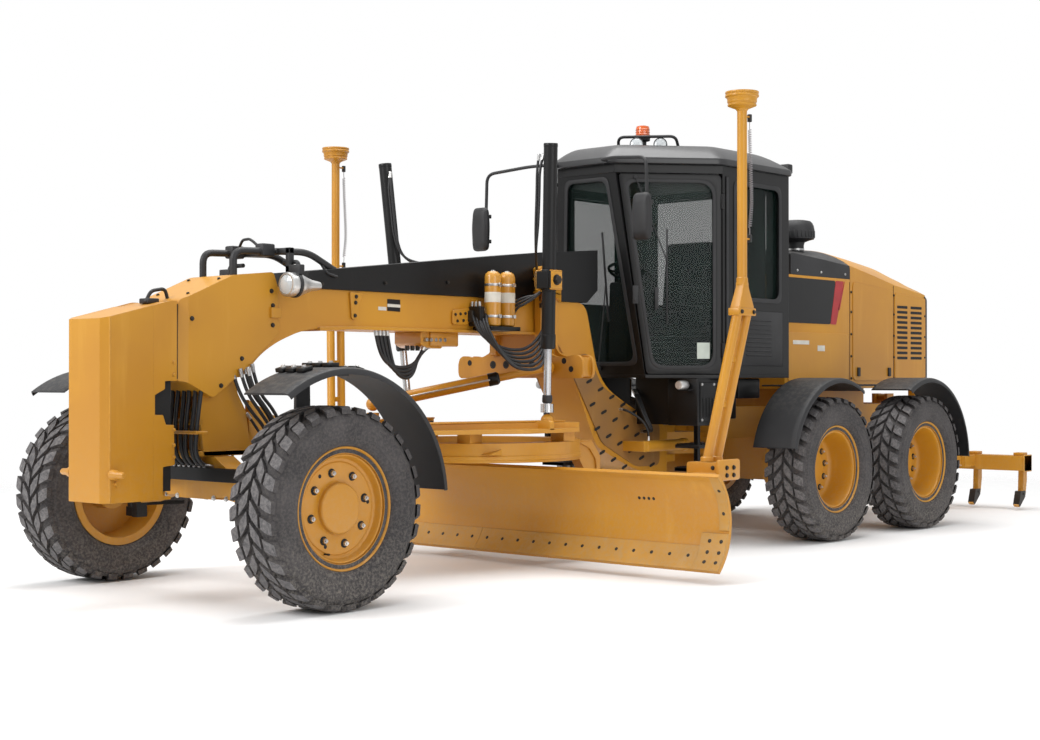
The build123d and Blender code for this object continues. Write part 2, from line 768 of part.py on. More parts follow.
# Knuckles with spindles and steering arms, the steering rods, and the front fenders
spindle_radius = 62
post_inner_y = king_pin_y + 66
fender_inner_y = half_track - fender_width / 2
fender_outer_y = half_track + fender_width / 2
for knuckle_name, side in (("left", 1), ("right", -1)):
    spindle_end = half_track + front_hub_back - seat_gap
    post_y = sorted((side * post_inner_y, side * fender_inner_y))
    with BuildPart() as knuckle:
        with BuildSketch(Plane.XY.offset(axle_height - knuckle_half)) as pin_block:
            with Locations((front_axle_x, side * king_pin_y)):
                Circle(48)
        extrude(pin_block.sketch, amount=2 * knuckle_half)
        bar(
            (front_axle_x, side * king_pin_y, axle_height),
            (front_axle_x, side * spindle_end, axle_height),
            spindle_radius,
        )
        block((front_axle_x - 30, front_axle_x + 30), post_y, (axle_height, axle_height + 115))
        arm_top = lean_pivot_z - 18 - steer_arm_drop
        floor_plate(
            [
                (front_axle_x - 20, side * (king_pin_y - 30)),
                (steer_rod_x - 35, side * (steer_arm_y - 30)),
                (steer_rod_x - 35, side * (steer_arm_y + 35)),
                (front_axle_x - 20, side * (king_pin_y + 38)),
            ],
            (arm_top - 24, arm_top),
        )
    knuckle.part.label = f"knuckle_{knuckle_name}"
    export_step(knuckle.part, f"parts/knuckle_{knuckle_name}.step")

    with BuildPart() as front_fender:
        arch(
            front_axle_x,
            axle_height,
            front_fender_radius,
            fender_thickness,
            55,
            120,
            sorted((side * fender_inner_y, side * fender_outer_y)),
        )
        block(
            (front_axle_x - 30, front_axle_x + 30),
            post_y,
            (axle_height + 115, axle_height + front_fender_radius - 20),
        )
        carrier_z = axle_height + front_fender_radius - fender_thickness
        carrier_y = sorted((side * post_inner_y, side * (fender_outer_y - 60)))
        block((front_axle_x - 60, front_axle_x + 60), carrier_y, (carrier_z - 24, carrier_z + 2))
    front_fender.part.label = f"front_fender_{knuckle_name}"
    export_step(front_fender.part, f"parts/front_fender_{knuckle_name}.step")

with BuildPart() as steer_rods:
    for side in (-1, 1):
        bar(
            (steer_rod_x, side * (steer_barrel_end_y / 2 - 7), lean_pivot_z),
            (steer_rod_x, side * steer_arm_y, lean_pivot_z),
            steer_rod_radius,
        )
        with BuildSketch(Plane.XY.offset(lean_pivot_z - 18)) as eye:
            with Locations((steer_rod_x, side * steer_arm_y)):
                Circle(30)
        extrude(eye.sketch, amount=36)
steer_rods.part.label = "steer_rods"
export_step(steer_rods.part, "parts/steer_rods.step")

# Lines that the cab's floor, walls, doors and roof share
wall_top = eave_z
door_run = hypot(cab_front_x - cab_corner_x, cab_half_width - cab_nose_y)
door_along = ((cab_corner_x - cab_front_x) / door_run, (cab_half_width - cab_nose_y) / door_run)
door_out = (door_along[1], -door_along[0])
door_plane = Plane(
    origin=(cab_front_x, cab_nose_y, 0),
    x_dir=(door_along[0], door_along[1], 0),
    z_dir=(door_out[0], door_out[1], 0),
)
pillar_lean = 250
door_outline = [
    (pillar_lean + 8, cab_floor_z + 5),
    (door_run - 8, cab_floor_z + 5),
    (door_run - 8, wall_top - 70),
    (40, wall_top - 70),
]
door_window = [
    (pillar_lean + 60, cab_floor_z + 60),
    (door_run - 70, cab_floor_z + 60),
    (door_run - 70, wall_top - 130),
    (100, wall_top - 130),
]
foot_share = pillar_lean / door_run
nose_foot = (
    cab_front_x + (cab_corner_x - cab_front_x) * foot_share,
    cab_nose_y + (cab_half_width - cab_nose_y) * foot_share,
)

# Cab base: floor, lower body and steps
with BuildPart() as cab_base:
    cab_floor_outline = [
        (nose_foot[0], -nose_foot[1]),
        (nose_foot[0], nose_foot[1]),
        (cab_corner_x, cab_half_width),
        (cab_rear_x, cab_half_width),
        (cab_rear_x, -cab_half_width),
        (cab_corner_x, -cab_half_width),
    ]
    floor_plate(cab_floor_outline, (cab_floor_z - floor_thickness, cab_floor_z))
    for side in (-1, 1):
        box_y = sorted((side * (beam_half_width + seat_gap), side * 780))
        block((front_axle_x - 4450, front_axle_x - 4060), box_y, (960, cab_floor_z - floor_thickness))
        step_y = sorted((side * 560, side * 800))
        block((front_axle_x - 4400, front_axle_x - 4060), step_y, (600, 630))
        for post_x in (4080, 4390):
            block(
                (front_axle_x - post_x - 15, front_axle_x - post_x + 15),
                sorted((side * 740, side * 780)),
                (630, 960),
            )
cab_base.part.label = "cab_base"
export_step(cab_base.part, "parts/cab_base.step")

# Door hinges on the cab's side corners: a knuckle on the wall under one on the door
hinge_levels = (1480, 2640)
hinge_height = 60
hinge_radius = 16
hinge_notch_radius = 22


def hinge_bar(z, radius, mode=Mode.ADD, side=1):
    """A round piece about a door's hinge axis, from z[0] to z[1]."""
    hinge_y = side * cab_half_width
    bar((cab_corner_x, hinge_y, z[0]), (cab_corner_x, hinge_y, z[1]), radius, mode)


# Doors: a frame with its window cut, and the glass
with BuildPart() as door_left:
    with BuildSketch(door_plane.offset(-cab_wall)) as panel:
        with BuildLine():
            Polyline(*door_outline, close=True)
        make_face()
        with BuildLine():
            Polyline(*door_window, close=True)
        make_face(mode=Mode.SUBTRACT)
    extrude(panel.sketch, amount=cab_wall)
    for level in hinge_levels:
        hinge_bar((level - 6, level + hinge_height + seat_gap), hinge_notch_radius, Mode.SUBTRACT)
        hinge_bar((level + hinge_height + seat_gap, level + 2 * hinge_height), hinge_radius)
with BuildPart() as door_glass_left:
    with BuildSketch(door_plane.offset(-cab_wall / 2)) as pane:
        with BuildLine():
            Polyline(*door_window, close=True)
        make_face()
    extrude(pane.sketch, amount=glass_thickness)
door_left.part.label = "door_left"
export_step(door_left.part, "parts/door_left.step")
door_glass_left.part.label = "door_glass_left"
export_step(door_glass_left.part, "parts/door_glass_left.step")

with BuildPart() as door_right:
    add(mirror(door_left.part, about=Plane.XZ, mode=Mode.PRIVATE))
door_right.part.label = "door_right"
export_step(door_right.part, "parts/door_right.step")
with BuildPart() as door_glass_right:
    add(mirror(door_glass_left.part, about=Plane.XZ, mode=Mode.PRIVATE))
door_glass_right.part.label = "door_glass_right"
export_step(door_glass_right.part, "parts/door_glass_right.step")

# Cab walls: leaning front, sides and back joined by the header over the doors
sill_drop = wall_top - cab_floor_z
front_lean = hypot(nose_foot[0] - cab_front_x, sill_drop)
front_plane = Plane(
    origin=(nose_foot[0], 0, cab_floor_z),
    x_dir=(0, 1, 0),
    z_dir=(sill_drop / front_lean, 0, (nose_foot[0] - cab_front_x) / front_lean),
)
header_height = 64
front_window = [(-365, 90), (365, 90), (200, front_lean - 110), (-200, front_lean - 110)]
side_window_x = (cab_rear_x + 140, cab_corner_x - 170)
side_window_z = (window_sill_z + 450, wall_top - 120)
back_window_y = (-cab_half_width + 180, cab_half_width - 180)


def cab_outline(inset):
    """The cab's plan, half of it, set in from the outer faces."""
    corner_inset = inset * 0.45
    return [
        (cab_front_x - inset, cab_nose_y - corner_inset),
        (cab_corner_x - corner_inset, cab_half_width - inset),
        (cab_rear_x + inset, cab_half_width - inset),
    ]


def whole_plan(half):
    """A plan outline closed by its mirrored half."""
    return half + [(x, -y) for x, y in reversed(half)]


with BuildPart() as cab_walls:
    with BuildSketch(front_plane.offset(-cab_wall)) as panel:
        with BuildLine():
            Polyline(
                (-nose_foot[1], -40),
                (nose_foot[1], -40),
                (cab_nose_y, front_lean + 40),
                (-cab_nose_y, front_lean + 40),
                close=True,
            )
        make_face()
        with BuildLine():
            Polyline(*front_window, close=True)
        make_face(mode=Mode.SUBTRACT)
    extrude(panel.sketch, amount=cab_wall)
    for side in (-1, 1):
        wall_y = sorted((side * cab_half_width, side * (cab_half_width - cab_wall)))
        block((cab_rear_x, cab_corner_x), wall_y, (cab_floor_z, wall_top))
        block(side_window_x, wall_y, side_window_z, Mode.SUBTRACT)
    block((cab_rear_x, cab_rear_x + cab_wall), (-cab_half_width, cab_half_width), (cab_floor_z, wall_top))
    block((cab_rear_x, cab_rear_x + cab_wall), back_window_y, side_window_z, Mode.SUBTRACT)
    floor_plate(whole_plan(cab_outline(0)), (wall_top - header_height, wall_top + 40))
    header_hollow = (wall_top - header_height, wall_top + 40)
    floor_plate(whole_plan(cab_outline(cab_wall)), header_hollow, Mode.SUBTRACT)
    block((cab_rear_x - 10, cab_front_x + 60), (-900, 900), (wall_top, wall_top + 60), Mode.SUBTRACT)
    block((cab_rear_x - 10, cab_front_x + 60), (-900, 900), (cab_floor_z - 60, cab_floor_z), Mode.SUBTRACT)
    for flip in (1, -1):
        pocket_plane = Plane(
            origin=(cab_front_x, flip * cab_nose_y, 0),
            x_dir=(door_along[0], flip * door_along[1], 0),
            z_dir=(flip * door_out[0], door_out[1], 0),
        )
        pocket_start = -cab_wall - swing_gap if flip > 0 else cab_wall + swing_gap
        with BuildSketch(pocket_plane.offset(pocket_start)) as pocket:
            with BuildLine():
                Polyline(
                    (pillar_lean + 2, cab_floor_z),
                    (door_run - 2, cab_floor_z),
                    (door_run - 2, wall_top - header_height),
                    (34, wall_top - header_height),
                    close=True,
                )
            make_face()
        extrude(pocket.sketch, amount=flip * 300, mode=Mode.SUBTRACT)
    for side in (-1, 1):
        for level in hinge_levels:
            knuckle_top = level + hinge_height
            hinge_bar((knuckle_top, knuckle_top + hinge_height + 6), hinge_notch_radius, Mode.SUBTRACT, side)
            hinge_bar((level, knuckle_top), hinge_radius, Mode.ADD, side)
cab_walls.part.label = "cab_walls"
export_step(cab_walls.part, "parts/cab_walls.step")

with BuildPart() as cab_glass:
    with BuildSketch(front_plane.offset(-cab_wall / 2)) as pane:
        with BuildLine():
            Polyline(*front_window, close=True)
        make_face()
    extrude(pane.sketch, amount=glass_thickness)
    for side in (-1, 1):
        pane_y = sorted((side * (cab_half_width - 25), side * (cab_half_width - 25 - glass_thickness)))
        block(side_window_x, pane_y, side_window_z)
    block((cab_rear_x + 25, cab_rear_x + 25 + glass_thickness), back_window_y, side_window_z)
cab_glass.part.label = "cab_glass"
export_step(cab_glass.part, "parts/cab_glass.step")

# Roof: a slab over the walls and a lower lip over the doors
roof_outline = [
    (cab_front_x + 60, -cab_nose_y - 10),
    (cab_front_x + 60, cab_nose_y + 10),
    (cab_corner_x + 40, cab_half_width + 30),
    (cab_rear_x - 40, cab_half_width + 30),
    (cab_rear_x - 40, -cab_half_width - 30),
    (cab_corner_x + 40, -cab_half_width - 30),
]
crown_outline = [
    (cab_front_x - 150, -cab_nose_y + 60),
    (cab_front_x - 150, cab_nose_y - 60),
    (cab_corner_x - 60, cab_half_width - 150),
    (cab_rear_x + 250, cab_half_width - 150),
    (cab_rear_x + 250, -cab_half_width + 150),
    (cab_corner_x - 60, -cab_half_width + 150),
]
with BuildPart() as cab_roof:
    floor_plate(roof_outline, (eave_z, eave_z + 50))
    with BuildSketch(Plane.XY.offset(eave_z + 50)):
        with BuildLine():
            Polyline(*roof_outline, close=True)
        make_face()
    with BuildSketch(Plane.XY.offset(roof_top_z)):
        with BuildLine():
            Polyline(*crown_outline, close=True)
        make_face()
    loft()
cab_roof.part.label = "cab_roof"
export_step(cab_roof.part, "parts/cab_roof.step")

# Lamps and mirrors: guard tube, headlamps, beacon, roof lamps, and mirrors on tube arms
with BuildPart() as lamps:
    # Guard tube and headlamps at the front of the beam
    for side in (-1, 1):
        bent_bar(
            [
                (front_axle_x - 60, side * 150, 1940),
                (front_axle_x - 60, side * 150, 2110),
                (front_axle_x - 640, side * 170, 2130),
                (front_axle_x - 870, side * 170, 2019),
            ],
            22,
            60,
        )
    side_plate(nose_outline, (-215, 215), Mode.SUBTRACT)
    side_plate(cover_outline, (-beam_half_width - 15, beam_half_width + 15), Mode.SUBTRACT)
    lamp_bar_x = (front_axle_x - 420, front_axle_x - 380)
    lamp_bar_half = 300
    block(lamp_bar_x, (-lamp_bar_half, lamp_bar_half), (2100, 2140))
    for side in (-1, 1):
        block(lamp_bar_x, sorted((side * 260, side * lamp_bar_half)), (1960, 2140))
        block(lamp_bar_x, sorted((side * 260, side * 420)), (1960, 2030))
        with BuildSketch(Plane.YZ.offset(front_axle_x - 380)) as lamp:
            with Locations((side * 340, 1930)):
                RectangleRounded(190, 150, 40)
        extrude(lamp.sketch, amount=110)
    # Beacon and roof lamps
    for start_z, end_z, radius in ((roof_top_z, roof_top_z + 70, 42), (roof_top_z + 70, roof_top_z + 190, 60)):
        bar((cab_corner_x + 180, 150, start_z), (cab_corner_x + 180, 150, end_z), radius)
    for lamp_y in (-160, 330):
        lamp_x = cab_front_x - 260
        block((lamp_x - 30, lamp_x), (lamp_y - 15, lamp_y + 15), (roof_top_z, roof_top_z + 30))
        bar((lamp_x - 60, lamp_y, roof_top_z + 65), (lamp_x + 10, lamp_y, roof_top_z + 65), 45)
    for lamp_y in (-700, 700):
        block((cab_rear_x - 110, cab_rear_x - 40), (lamp_y - 60, lamp_y + 60), (eave_z - 40, eave_z + 50))
    for side in (-1, 1):
        bent_bar(
            [
                (cab_front_x + 60, side * 250, eave_z + 25),
                (cab_front_x + 110, side * 250, eave_z + 25),
                (cab_front_x + 180, side * 420, eave_z + 20),
                (cab_front_x + 270, side * 800, eave_z - 20),
                (cab_front_x + 270, side * 810, eave_z - 330),
            ],
            13,
            22,
        )
        head_y = sorted((side * 730, side * 890))
        block((cab_front_x + 274, cab_front_x + 325), head_y, (2340, 2690))
lamps.part.label = "lamps_and_mirrors"
export_step(lamps.part, "parts/lamps_and_mirrors.step")

# Inside the cab: seat, and the steering console with its pods
seat_x = cab_rear_x + 430
with BuildPart() as operator_station:
    block((seat_x - 190, seat_x + 190), (-200, 200), (cab_floor_z, cab_floor_z + 400))
    block((seat_x - 240, seat_x + 260), (-260, 260), (cab_floor_z + 400, cab_floor_z + 520))
    side_plate(
        [
            (seat_x - 240, cab_floor_z + 520),
            (seat_x - 120, cab_floor_z + 520),
            (seat_x - 200, cab_floor_z + 1150),
            (seat_x - 300, cab_floor_z + 1150),
        ],
        (-240, 240),
    )
    for side in (-1, 1):
        arm_y = sorted((side * 290, side * 380))
        block((seat_x - 150, seat_x + 330), arm_y, (cab_floor_z + 560, cab_floor_z + 720))
        block((seat_x - 100, seat_x + 40), sorted((side * 258, side * 292)), (cab_floor_z + 440, cab_floor_z + 640))
    side_plate(
        [
            (cab_front_x - 400, cab_floor_z),
            (cab_front_x - 620, cab_floor_z),
            (cab_front_x - 560, cab_floor_z + 700),
            (cab_front_x - 420, cab_floor_z + 760),
        ],
        (-90, 90),
    )
operator_station.part.label = "operator_station"
export_step(operator_station.part, "parts/operator_station.step")

# Rear frame: rails from the hitch back under the engine, and the lugs for the ripper
rail_top_z = 1080
rail_low_z = 820
with BuildPart() as rear_frame:
    hitch_tongue = [
        (hitch_x, -90),
        (hitch_x, 90),
        (hitch_x - 240, 200),
        (hitch_x - 240, 395),
        (hitch_x - 340, 395),
        (hitch_x - 340, -395),
        (hitch_x - 240, -395),
        (hitch_x - 240, -200),
    ]
    with BuildSketch(Plane.XY.offset(700 + seat_gap)) as tongue:
        with BuildLine():
            Polyline(*hitch_tongue, close=True)
        make_face()
        with Locations((hitch_x, 0)):
            Circle(90)
    extrude(tongue.sketch, amount=880 - 700 - 2 * seat_gap)
    for side in (-1, 1):
        lug_y = sorted((side * (artic_y - 35), side * (artic_y + 35)))
        for lug_z in ((20, 45), (-45, -20)):
            block((hitch_x - 250, artic_eye_x + 35), lug_y, (artic_z + lug_z[0], artic_z + lug_z[1]))
    for side in (-1, 1):
        rail_y = sorted((side * 250, side * 370))
        block((hood_rear_x - 60, hitch_x - 250), rail_y, (rail_low_z, rail_top_z))
    block((hood_rear_x - 90, hood_rear_x - 60), (-500, 500), (560, rail_top_z))
    for cross_x in (hitch_x - 800, tandem_x, hood_rear_x + 300):
        block((cross_x - 60, cross_x + 60), (-250, 250), (rail_low_z + 40, rail_top_z - 40))
    for side in (-1, 1):
        lug_y = sorted((side * 400, side * 440))
        block((ripper_pivot_x - 60, hood_rear_x - 90), lug_y, (560, 1000))
        # Brackets out to the hood's lower edges
        for bracket_x in (front_axle_x - 5800, tandem_x, front_axle_x - 8000):
            bracket_y = sorted((side * 370, side * hood_half_width))
            block((bracket_x - 50, bracket_x + 50), bracket_y, (rail_low_z + 60, rail_top_z))
            post_y = sorted((side * (hood_half_width - hood_wall - 40), side * hood_half_width))
            block((bracket_x - 50, bracket_x + 50), post_y, (rail_top_z, hood_bottom_z))
    # Engine, as one block on the rails
    block((front_axle_x - 7300, front_axle_x - 5950), (-370, 370), (rail_top_z - 10, 1980))
    # Ears for the ripper's cylinder and upper link
    for ear_y in ((-ripper_ear_y - 30, -ripper_ear_y), (ripper_ear_y, ripper_ear_y + 30)):
        block((ripper_top[0] - 40, hood_rear_x - 90), ear_y, (rail_top_z - 120, ripper_top[2] + 40))
        block((ripper_upper_x - 45, hood_rear_x - 90), ear_y, (ripper_upper_z - 45, ripper_upper_z + 45))
rear_frame.part.label = "rear_frame"
export_step(rear_frame.part, "parts/rear_frame.step")

# Articulation cylinders' rods
for rod_name, side in (("left", 1), ("right", -1)):
    with BuildPart() as artic_rod:
        bar(
            (artic_front_x - 200, side * artic_y, artic_z),
            (artic_eye_x, side * artic_y, artic_z),
            artic_rod_radius,
        )
        with BuildSketch(Plane.XY.offset(artic_z - 15)) as eye:
            with Locations((artic_eye_x, side * artic_y)):
                Circle(30)
        extrude(eye.sketch, amount=30)
    artic_rod.part.label = f"artic_rod_{rod_name}"
    export_step(artic_rod.part, f"parts/artic_rod_{rod_name}.step")

# Tandem cases on their axle tube, with the final drives that carry the mid and rear wheels
final_drive_y = half_track + rear_hub_back - seat_gap
tandem_reach = tandem_spacing / 2 + 190
with BuildPart() as tandems:
    bar((tandem_x, -tandem_inner_y, axle_height + 40), (tandem_x, tandem_inner_y, axle_height + 40), 130)
    block((tandem_x - 200, tandem_x + 200), (-235, 235), (430, rail_low_z + 38))
    for side in (-1, 1):
        block(
            (tandem_x - 130, tandem_x + 130),
            sorted((side * 235, side * 390)),
            (axle_height, rail_low_z),
        )
        side_plate(
            [
                (tandem_x - tandem_reach, axle_height - 60),
                (tandem_x - tandem_reach + 90, axle_height - 180),
                (tandem_x + tandem_reach - 90, axle_height - 180),
                (tandem_x + tandem_reach, axle_height - 60),
                (tandem_x + tandem_reach, axle_height + 60),
                (tandem_x + tandem_reach - 90, axle_height + 180),
                (tandem_x + 250, axle_height + 230),
                (tandem_x - 250, axle_height + 230),
                (tandem_x - tandem_reach + 90, axle_height + 180),
                (tandem_x - tandem_reach, axle_height + 60),
            ],
            sorted((side * tandem_inner_y, side * tandem_outer_y)),
        )
        for wheel_x in (mid_axle_x, rear_axle_x):
            bar((wheel_x, side * tandem_outer_y, axle_height), (wheel_x, side * final_drive_y, axle_height), 150)
tandems.part.label = "tandems"
export_step(tandems.part, "parts/tandems.step")

# Hood: a crowned shell open below, lower at the front where the black cap sits on it
cap_seat_z = 2215
cap_front_x = hood_front_x + 110
stack_x = front_axle_x - 5790
cleaner_x = front_axle_x - 6050
cap_front_edge_z = 2405
cap_front_crown_z = 2455
step_edge_z = 2335
step_crown_z = 2505


def hood_section(x, half_width, low_z, edge_z, crown_z):
    """The hood's section at x: flat sides under a crowned top."""
    with BuildSketch(Plane.YZ.offset(x)) as section:
        with BuildLine():
            Polyline((-half_width, edge_z), (-half_width, low_z), (half_width, low_z), (half_width, edge_z))
            ThreePointArc((half_width, edge_z), (0, crown_z), (-half_width, edge_z))
        make_face()
    return section.sketch


# Columns: x, height at the sides, height of the crown
tail_sections = (
    (hood_step_x, step_edge_z, step_crown_z),
    (front_axle_x - 7600, 2190, 2423),
    (hood_rear_x, 2127, 2250),
)
with BuildPart() as hood:
    block((hood_step_x, hood_front_x), (-hood_half_width, hood_half_width), (hood_bottom_z, cap_seat_z))
    for near, far in zip(tail_sections, tail_sections[1:]):
        near_section = hood_section(near[0], hood_half_width, hood_bottom_z, near[1], near[2])
        far_section = hood_section(far[0], hood_half_width, hood_bottom_z, far[1], far[2])
        loft([far_section, near_section], ruled=True)
    hollow_half = hood_half_width - hood_wall
    hollow_x = (hood_step_x - hood_wall, hood_front_x - hood_wall)
    block(hollow_x, (-hollow_half, hollow_half), (hood_bottom_z, cap_seat_z - hood_wall), Mode.SUBTRACT)
    hollow_sections = [
        (max(x, hood_rear_x + hood_wall), edge_z - hood_wall, crown_z - hood_wall)
        for x, edge_z, crown_z in tail_sections
    ]
    hollow_sections[0] = (hood_step_x - hood_wall, step_edge_z - hood_wall, step_crown_z - hood_wall)
    for near, far in zip(hollow_sections, hollow_sections[1:]):
        near_section = hood_section(near[0], hollow_half, hood_bottom_z, near[1], near[2])
        far_section = hood_section(far[0], hollow_half, hood_bottom_z, far[1], far[2])
        loft([far_section, near_section], ruled=True, mode=Mode.SUBTRACT)
hood.part.label = "hood"
export_step(hood.part, "parts/hood.step")

# Black trim: the cap with its pre-cleaner and stack, and the rear grille with its slots
with BuildPart() as hood_trim:
    cap_low_z = cap_seat_z + seat_gap
    cap_front = hood_section(cap_front_x, hood_half_width, cap_low_z, cap_front_edge_z, cap_front_crown_z)
    cap_back = hood_section(hood_step_x + seat_gap, hood_half_width, cap_low_z, step_edge_z, step_crown_z)
    loft([cap_back, cap_front], ruled=True)
    for start_z, end_z, radius in ((2400, 2570, 70), (2570, 2720, 165), (2720, 2745, 140)):
        bar((cleaner_x, 200, start_z), (cleaner_x, 200, end_z), radius)
    bar((stack_x, 400, 2330), (stack_x, 400, 3080), 52)
    block((hood_rear_x - 130, hood_rear_x - seat_gap), (-500, 500), (hood_bottom_z + 60, 2120))
    for slot_z in range(1360, 2060, 60):
        block((hood_rear_x - 130, hood_rear_x - 90), (-420, 420), (slot_z, slot_z + 30), Mode.SUBTRACT)
hood_trim.part.label = "hood_trim"
export_step(hood_trim.part, "parts/hood_trim.step")

# Rear fenders on decks from the hood's sides
rear_fender_inner_y = tandem_outer_y + 30
rear_fender_top = axle_height + rear_fender_radius
with BuildPart() as rear_fenders:
    for side in (-1, 1):
        fender_y = sorted((side * rear_fender_inner_y, side * (half_track + 200)))
        arch(mid_axle_x, axle_height, rear_fender_radius, fender_thickness, 15, 105, fender_y)
        arch(rear_axle_x, axle_height, rear_fender_radius, fender_thickness, 60, 118, fender_y)
        deck_y = sorted((side * (hood_half_width + seat_gap), side * (rear_fender_inner_y + 20)))
        block((rear_axle_x - 60, mid_axle_x + 60), deck_y, (rear_fender_top - 60, rear_fender_top - 46))
        for post_x in (mid_axle_x, rear_axle_x):
            post_y = sorted((side * rear_fender_inner_y, side * (rear_fender_inner_y + 12)))
            block((post_x - 30, post_x + 30), post_y, (rear_fender_top - 80, rear_fender_top - 5))
rear_fenders.part.label = "rear_fenders"
export_step(rear_fenders.part, "parts/rear_fenders.step")

# Ripper: two lower links with their cross tube, one upper link, the cylinder, and the beam
with BuildPart() as ripper_links:
    for side in (-1, 1):
        link_y = sorted((side * (440 + seat_gap), side * 490))
        side_plate(
            [
                (ripper_pivot_x + 50, ripper_pivot_z - 50),
                (ripper_pivot_x + 50, ripper_pivot_z + 50),
                (ripper_hinge_x - 45, ripper_beam_z + 60),
                (ripper_hinge_x - 45, ripper_beam_z - 40),
            ],
            link_y,
        )
    block((ripper_eye[0] - 40, ripper_eye[0] + 40), (-445, 445), (ripper_eye[2] - 140, ripper_eye[2] - 60))
    for ear_y in ((-60, -30), (30, 60)):
        block((ripper_eye[0] - 35, ripper_eye[0] + 35), ear_y, (ripper_eye[2] - 60, ripper_eye[2] + 35))
ripper_links.part.label = "ripper_links"
export_step(ripper_links.part, "parts/ripper_links.step")

ripper_barrel_end = between(ripper_top, ripper_eye, 0.62)
with BuildPart() as ripper_barrel:
    bar(between(ripper_top, ripper_eye, 0.04), ripper_barrel_end, 48)
    with BuildSketch(Plane.XZ.offset(-ripper_ear_y + seat_gap)) as eye:
        with Locations((ripper_top[0], ripper_top[2])):
            Circle(38)
    extrude(eye.sketch, amount=2 * (ripper_ear_y - seat_gap))
    bar(between(ripper_top, ripper_eye, 0.1), ripper_barrel_end, 22 + seat_gap, Mode.SUBTRACT)
ripper_barrel.part.label = "ripper_barrel"
export_step(ripper_barrel.part, "parts/ripper_barrel.step")

with BuildPart() as ripper_rod:
    bar(between(ripper_top, ripper_eye, 0.4), ripper_eye, 22)
    with BuildSketch(Plane.XZ.offset(-24)) as eye:
        with Locations((ripper_eye[0], ripper_eye[2])):
            Circle(32)
    extrude(eye.sketch, amount=48)
ripper_rod.part.label = "ripper_rod"
export_step(ripper_rod.part, "parts/ripper_rod.step")

# The upper link runs beside the cylinder, parallel to the lower links
upper_link_run = (ripper_hinge_x - ripper_pivot_x, ripper_beam_z + 10 - ripper_pivot_z)
upper_link_end = (ripper_upper_x + upper_link_run[0], ripper_upper_z + upper_link_run[1])
with BuildPart() as ripper_upper_link:
    for side in (-1, 1):
        link_y = sorted((side * (ripper_ear_y + 30 + seat_gap), side * (ripper_ear_y + 60)))
        side_plate(
            [
                (ripper_upper_x + 30, ripper_upper_z - 35),
                (ripper_upper_x + 30, ripper_upper_z + 35),
                (upper_link_end[0] - 30, upper_link_end[1] + 35),
                (upper_link_end[0] - 30, upper_link_end[1] - 35),
            ],
            link_y,
        )
ripper_upper_link.part.label = "ripper_upper_link"
export_step(ripper_upper_link.part, "parts/ripper_upper_link.step")

with BuildPart() as ripper_beam:
    block((ripper_beam_x - 80, ripper_beam_x + 80), (-1060, 1060), (ripper_beam_z - 75, ripper_beam_z + 75))
    for side in (-1, 1):
        ear_y = sorted((side * (490 + seat_gap), side * 530))
        block((ripper_beam_x + 80, ripper_hinge_x + 45), ear_y, (ripper_beam_z - 45, ripper_beam_z + 65))
        mast_y_span = sorted((side * (ripper_ear_y + 60 + seat_gap), side * (ripper_ear_y + 90)))
        side_plate(
            [
                (ripper_beam_x + 80, ripper_beam_z - 60),
                (ripper_beam_x - 60, ripper_beam_z + 75),
                (upper_link_end[0] - 40, upper_link_end[1] + 40),
                (upper_link_end[0] + 40, upper_link_end[1] + 40),
                (upper_link_end[0] + 40, upper_link_end[1] - 40),
            ],
            mast_y_span,
        )
    for shank_y in (-970, -485, 0, 485, 970):
        side_plate(
            [
                (ripper_beam_x - 110, ripper_beam_z + 40),
                (ripper_beam_x - 80, ripper_beam_z + 40),
                (ripper_beam_x - 80, ripper_beam_z - 75),
                (ripper_beam_x - 30, ripper_beam_z - 75),
                (ripper_beam_x - 20, 200),
                (ripper_beam_x + 90, 50),
                (ripper_beam_x + 60, 30),
                (ripper_beam_x - 80, 150),
                (ripper_beam_x - 110, 300),
            ],
            (shank_y - 27, shank_y + 27),
        )
ripper_beam.part.label = "ripper_beam"
export_step(ripper_beam.part, "parts/ripper_beam.step")
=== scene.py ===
import json
import math

import bmesh
import bpy
from mathutils import Matrix, Vector


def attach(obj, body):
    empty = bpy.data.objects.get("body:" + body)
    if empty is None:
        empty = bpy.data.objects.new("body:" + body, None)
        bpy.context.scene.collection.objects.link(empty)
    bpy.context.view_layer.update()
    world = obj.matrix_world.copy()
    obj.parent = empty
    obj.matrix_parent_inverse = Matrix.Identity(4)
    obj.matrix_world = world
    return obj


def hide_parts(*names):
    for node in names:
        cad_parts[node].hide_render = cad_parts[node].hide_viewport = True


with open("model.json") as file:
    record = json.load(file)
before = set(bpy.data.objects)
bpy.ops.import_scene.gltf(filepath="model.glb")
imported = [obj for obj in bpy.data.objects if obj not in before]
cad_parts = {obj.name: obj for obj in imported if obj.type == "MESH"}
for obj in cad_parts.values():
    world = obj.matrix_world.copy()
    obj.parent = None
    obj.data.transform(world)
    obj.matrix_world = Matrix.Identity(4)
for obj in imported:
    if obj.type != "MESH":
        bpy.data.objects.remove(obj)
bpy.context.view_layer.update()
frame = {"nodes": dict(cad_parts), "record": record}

nodes = frame["nodes"]
scene = bpy.context.scene

# Places that many pieces share, in metres
FRONT_AXLE_X = 4.275
MID_AXLE_X = -1.0865
REAR_AXLE_X = -2.6095
# Distances behind the front axle
MID_AXLE_BACK = 5.3615
REAR_AXLE_BACK = 6.8845
CIRCLE_BACK = 2.39
MAST_BACK = 2.84
AXLE_Z = 0.585
HALF_TRACK = 1.087
BEAM_Y = 0.18
HOOD_Y = 0.55
MAST_X = FRONT_AXLE_X - MAST_BACK
MAST_Y = 2.01
# The mast's cord hangs this far behind its pole
CORD_X = MAST_X - 0.09

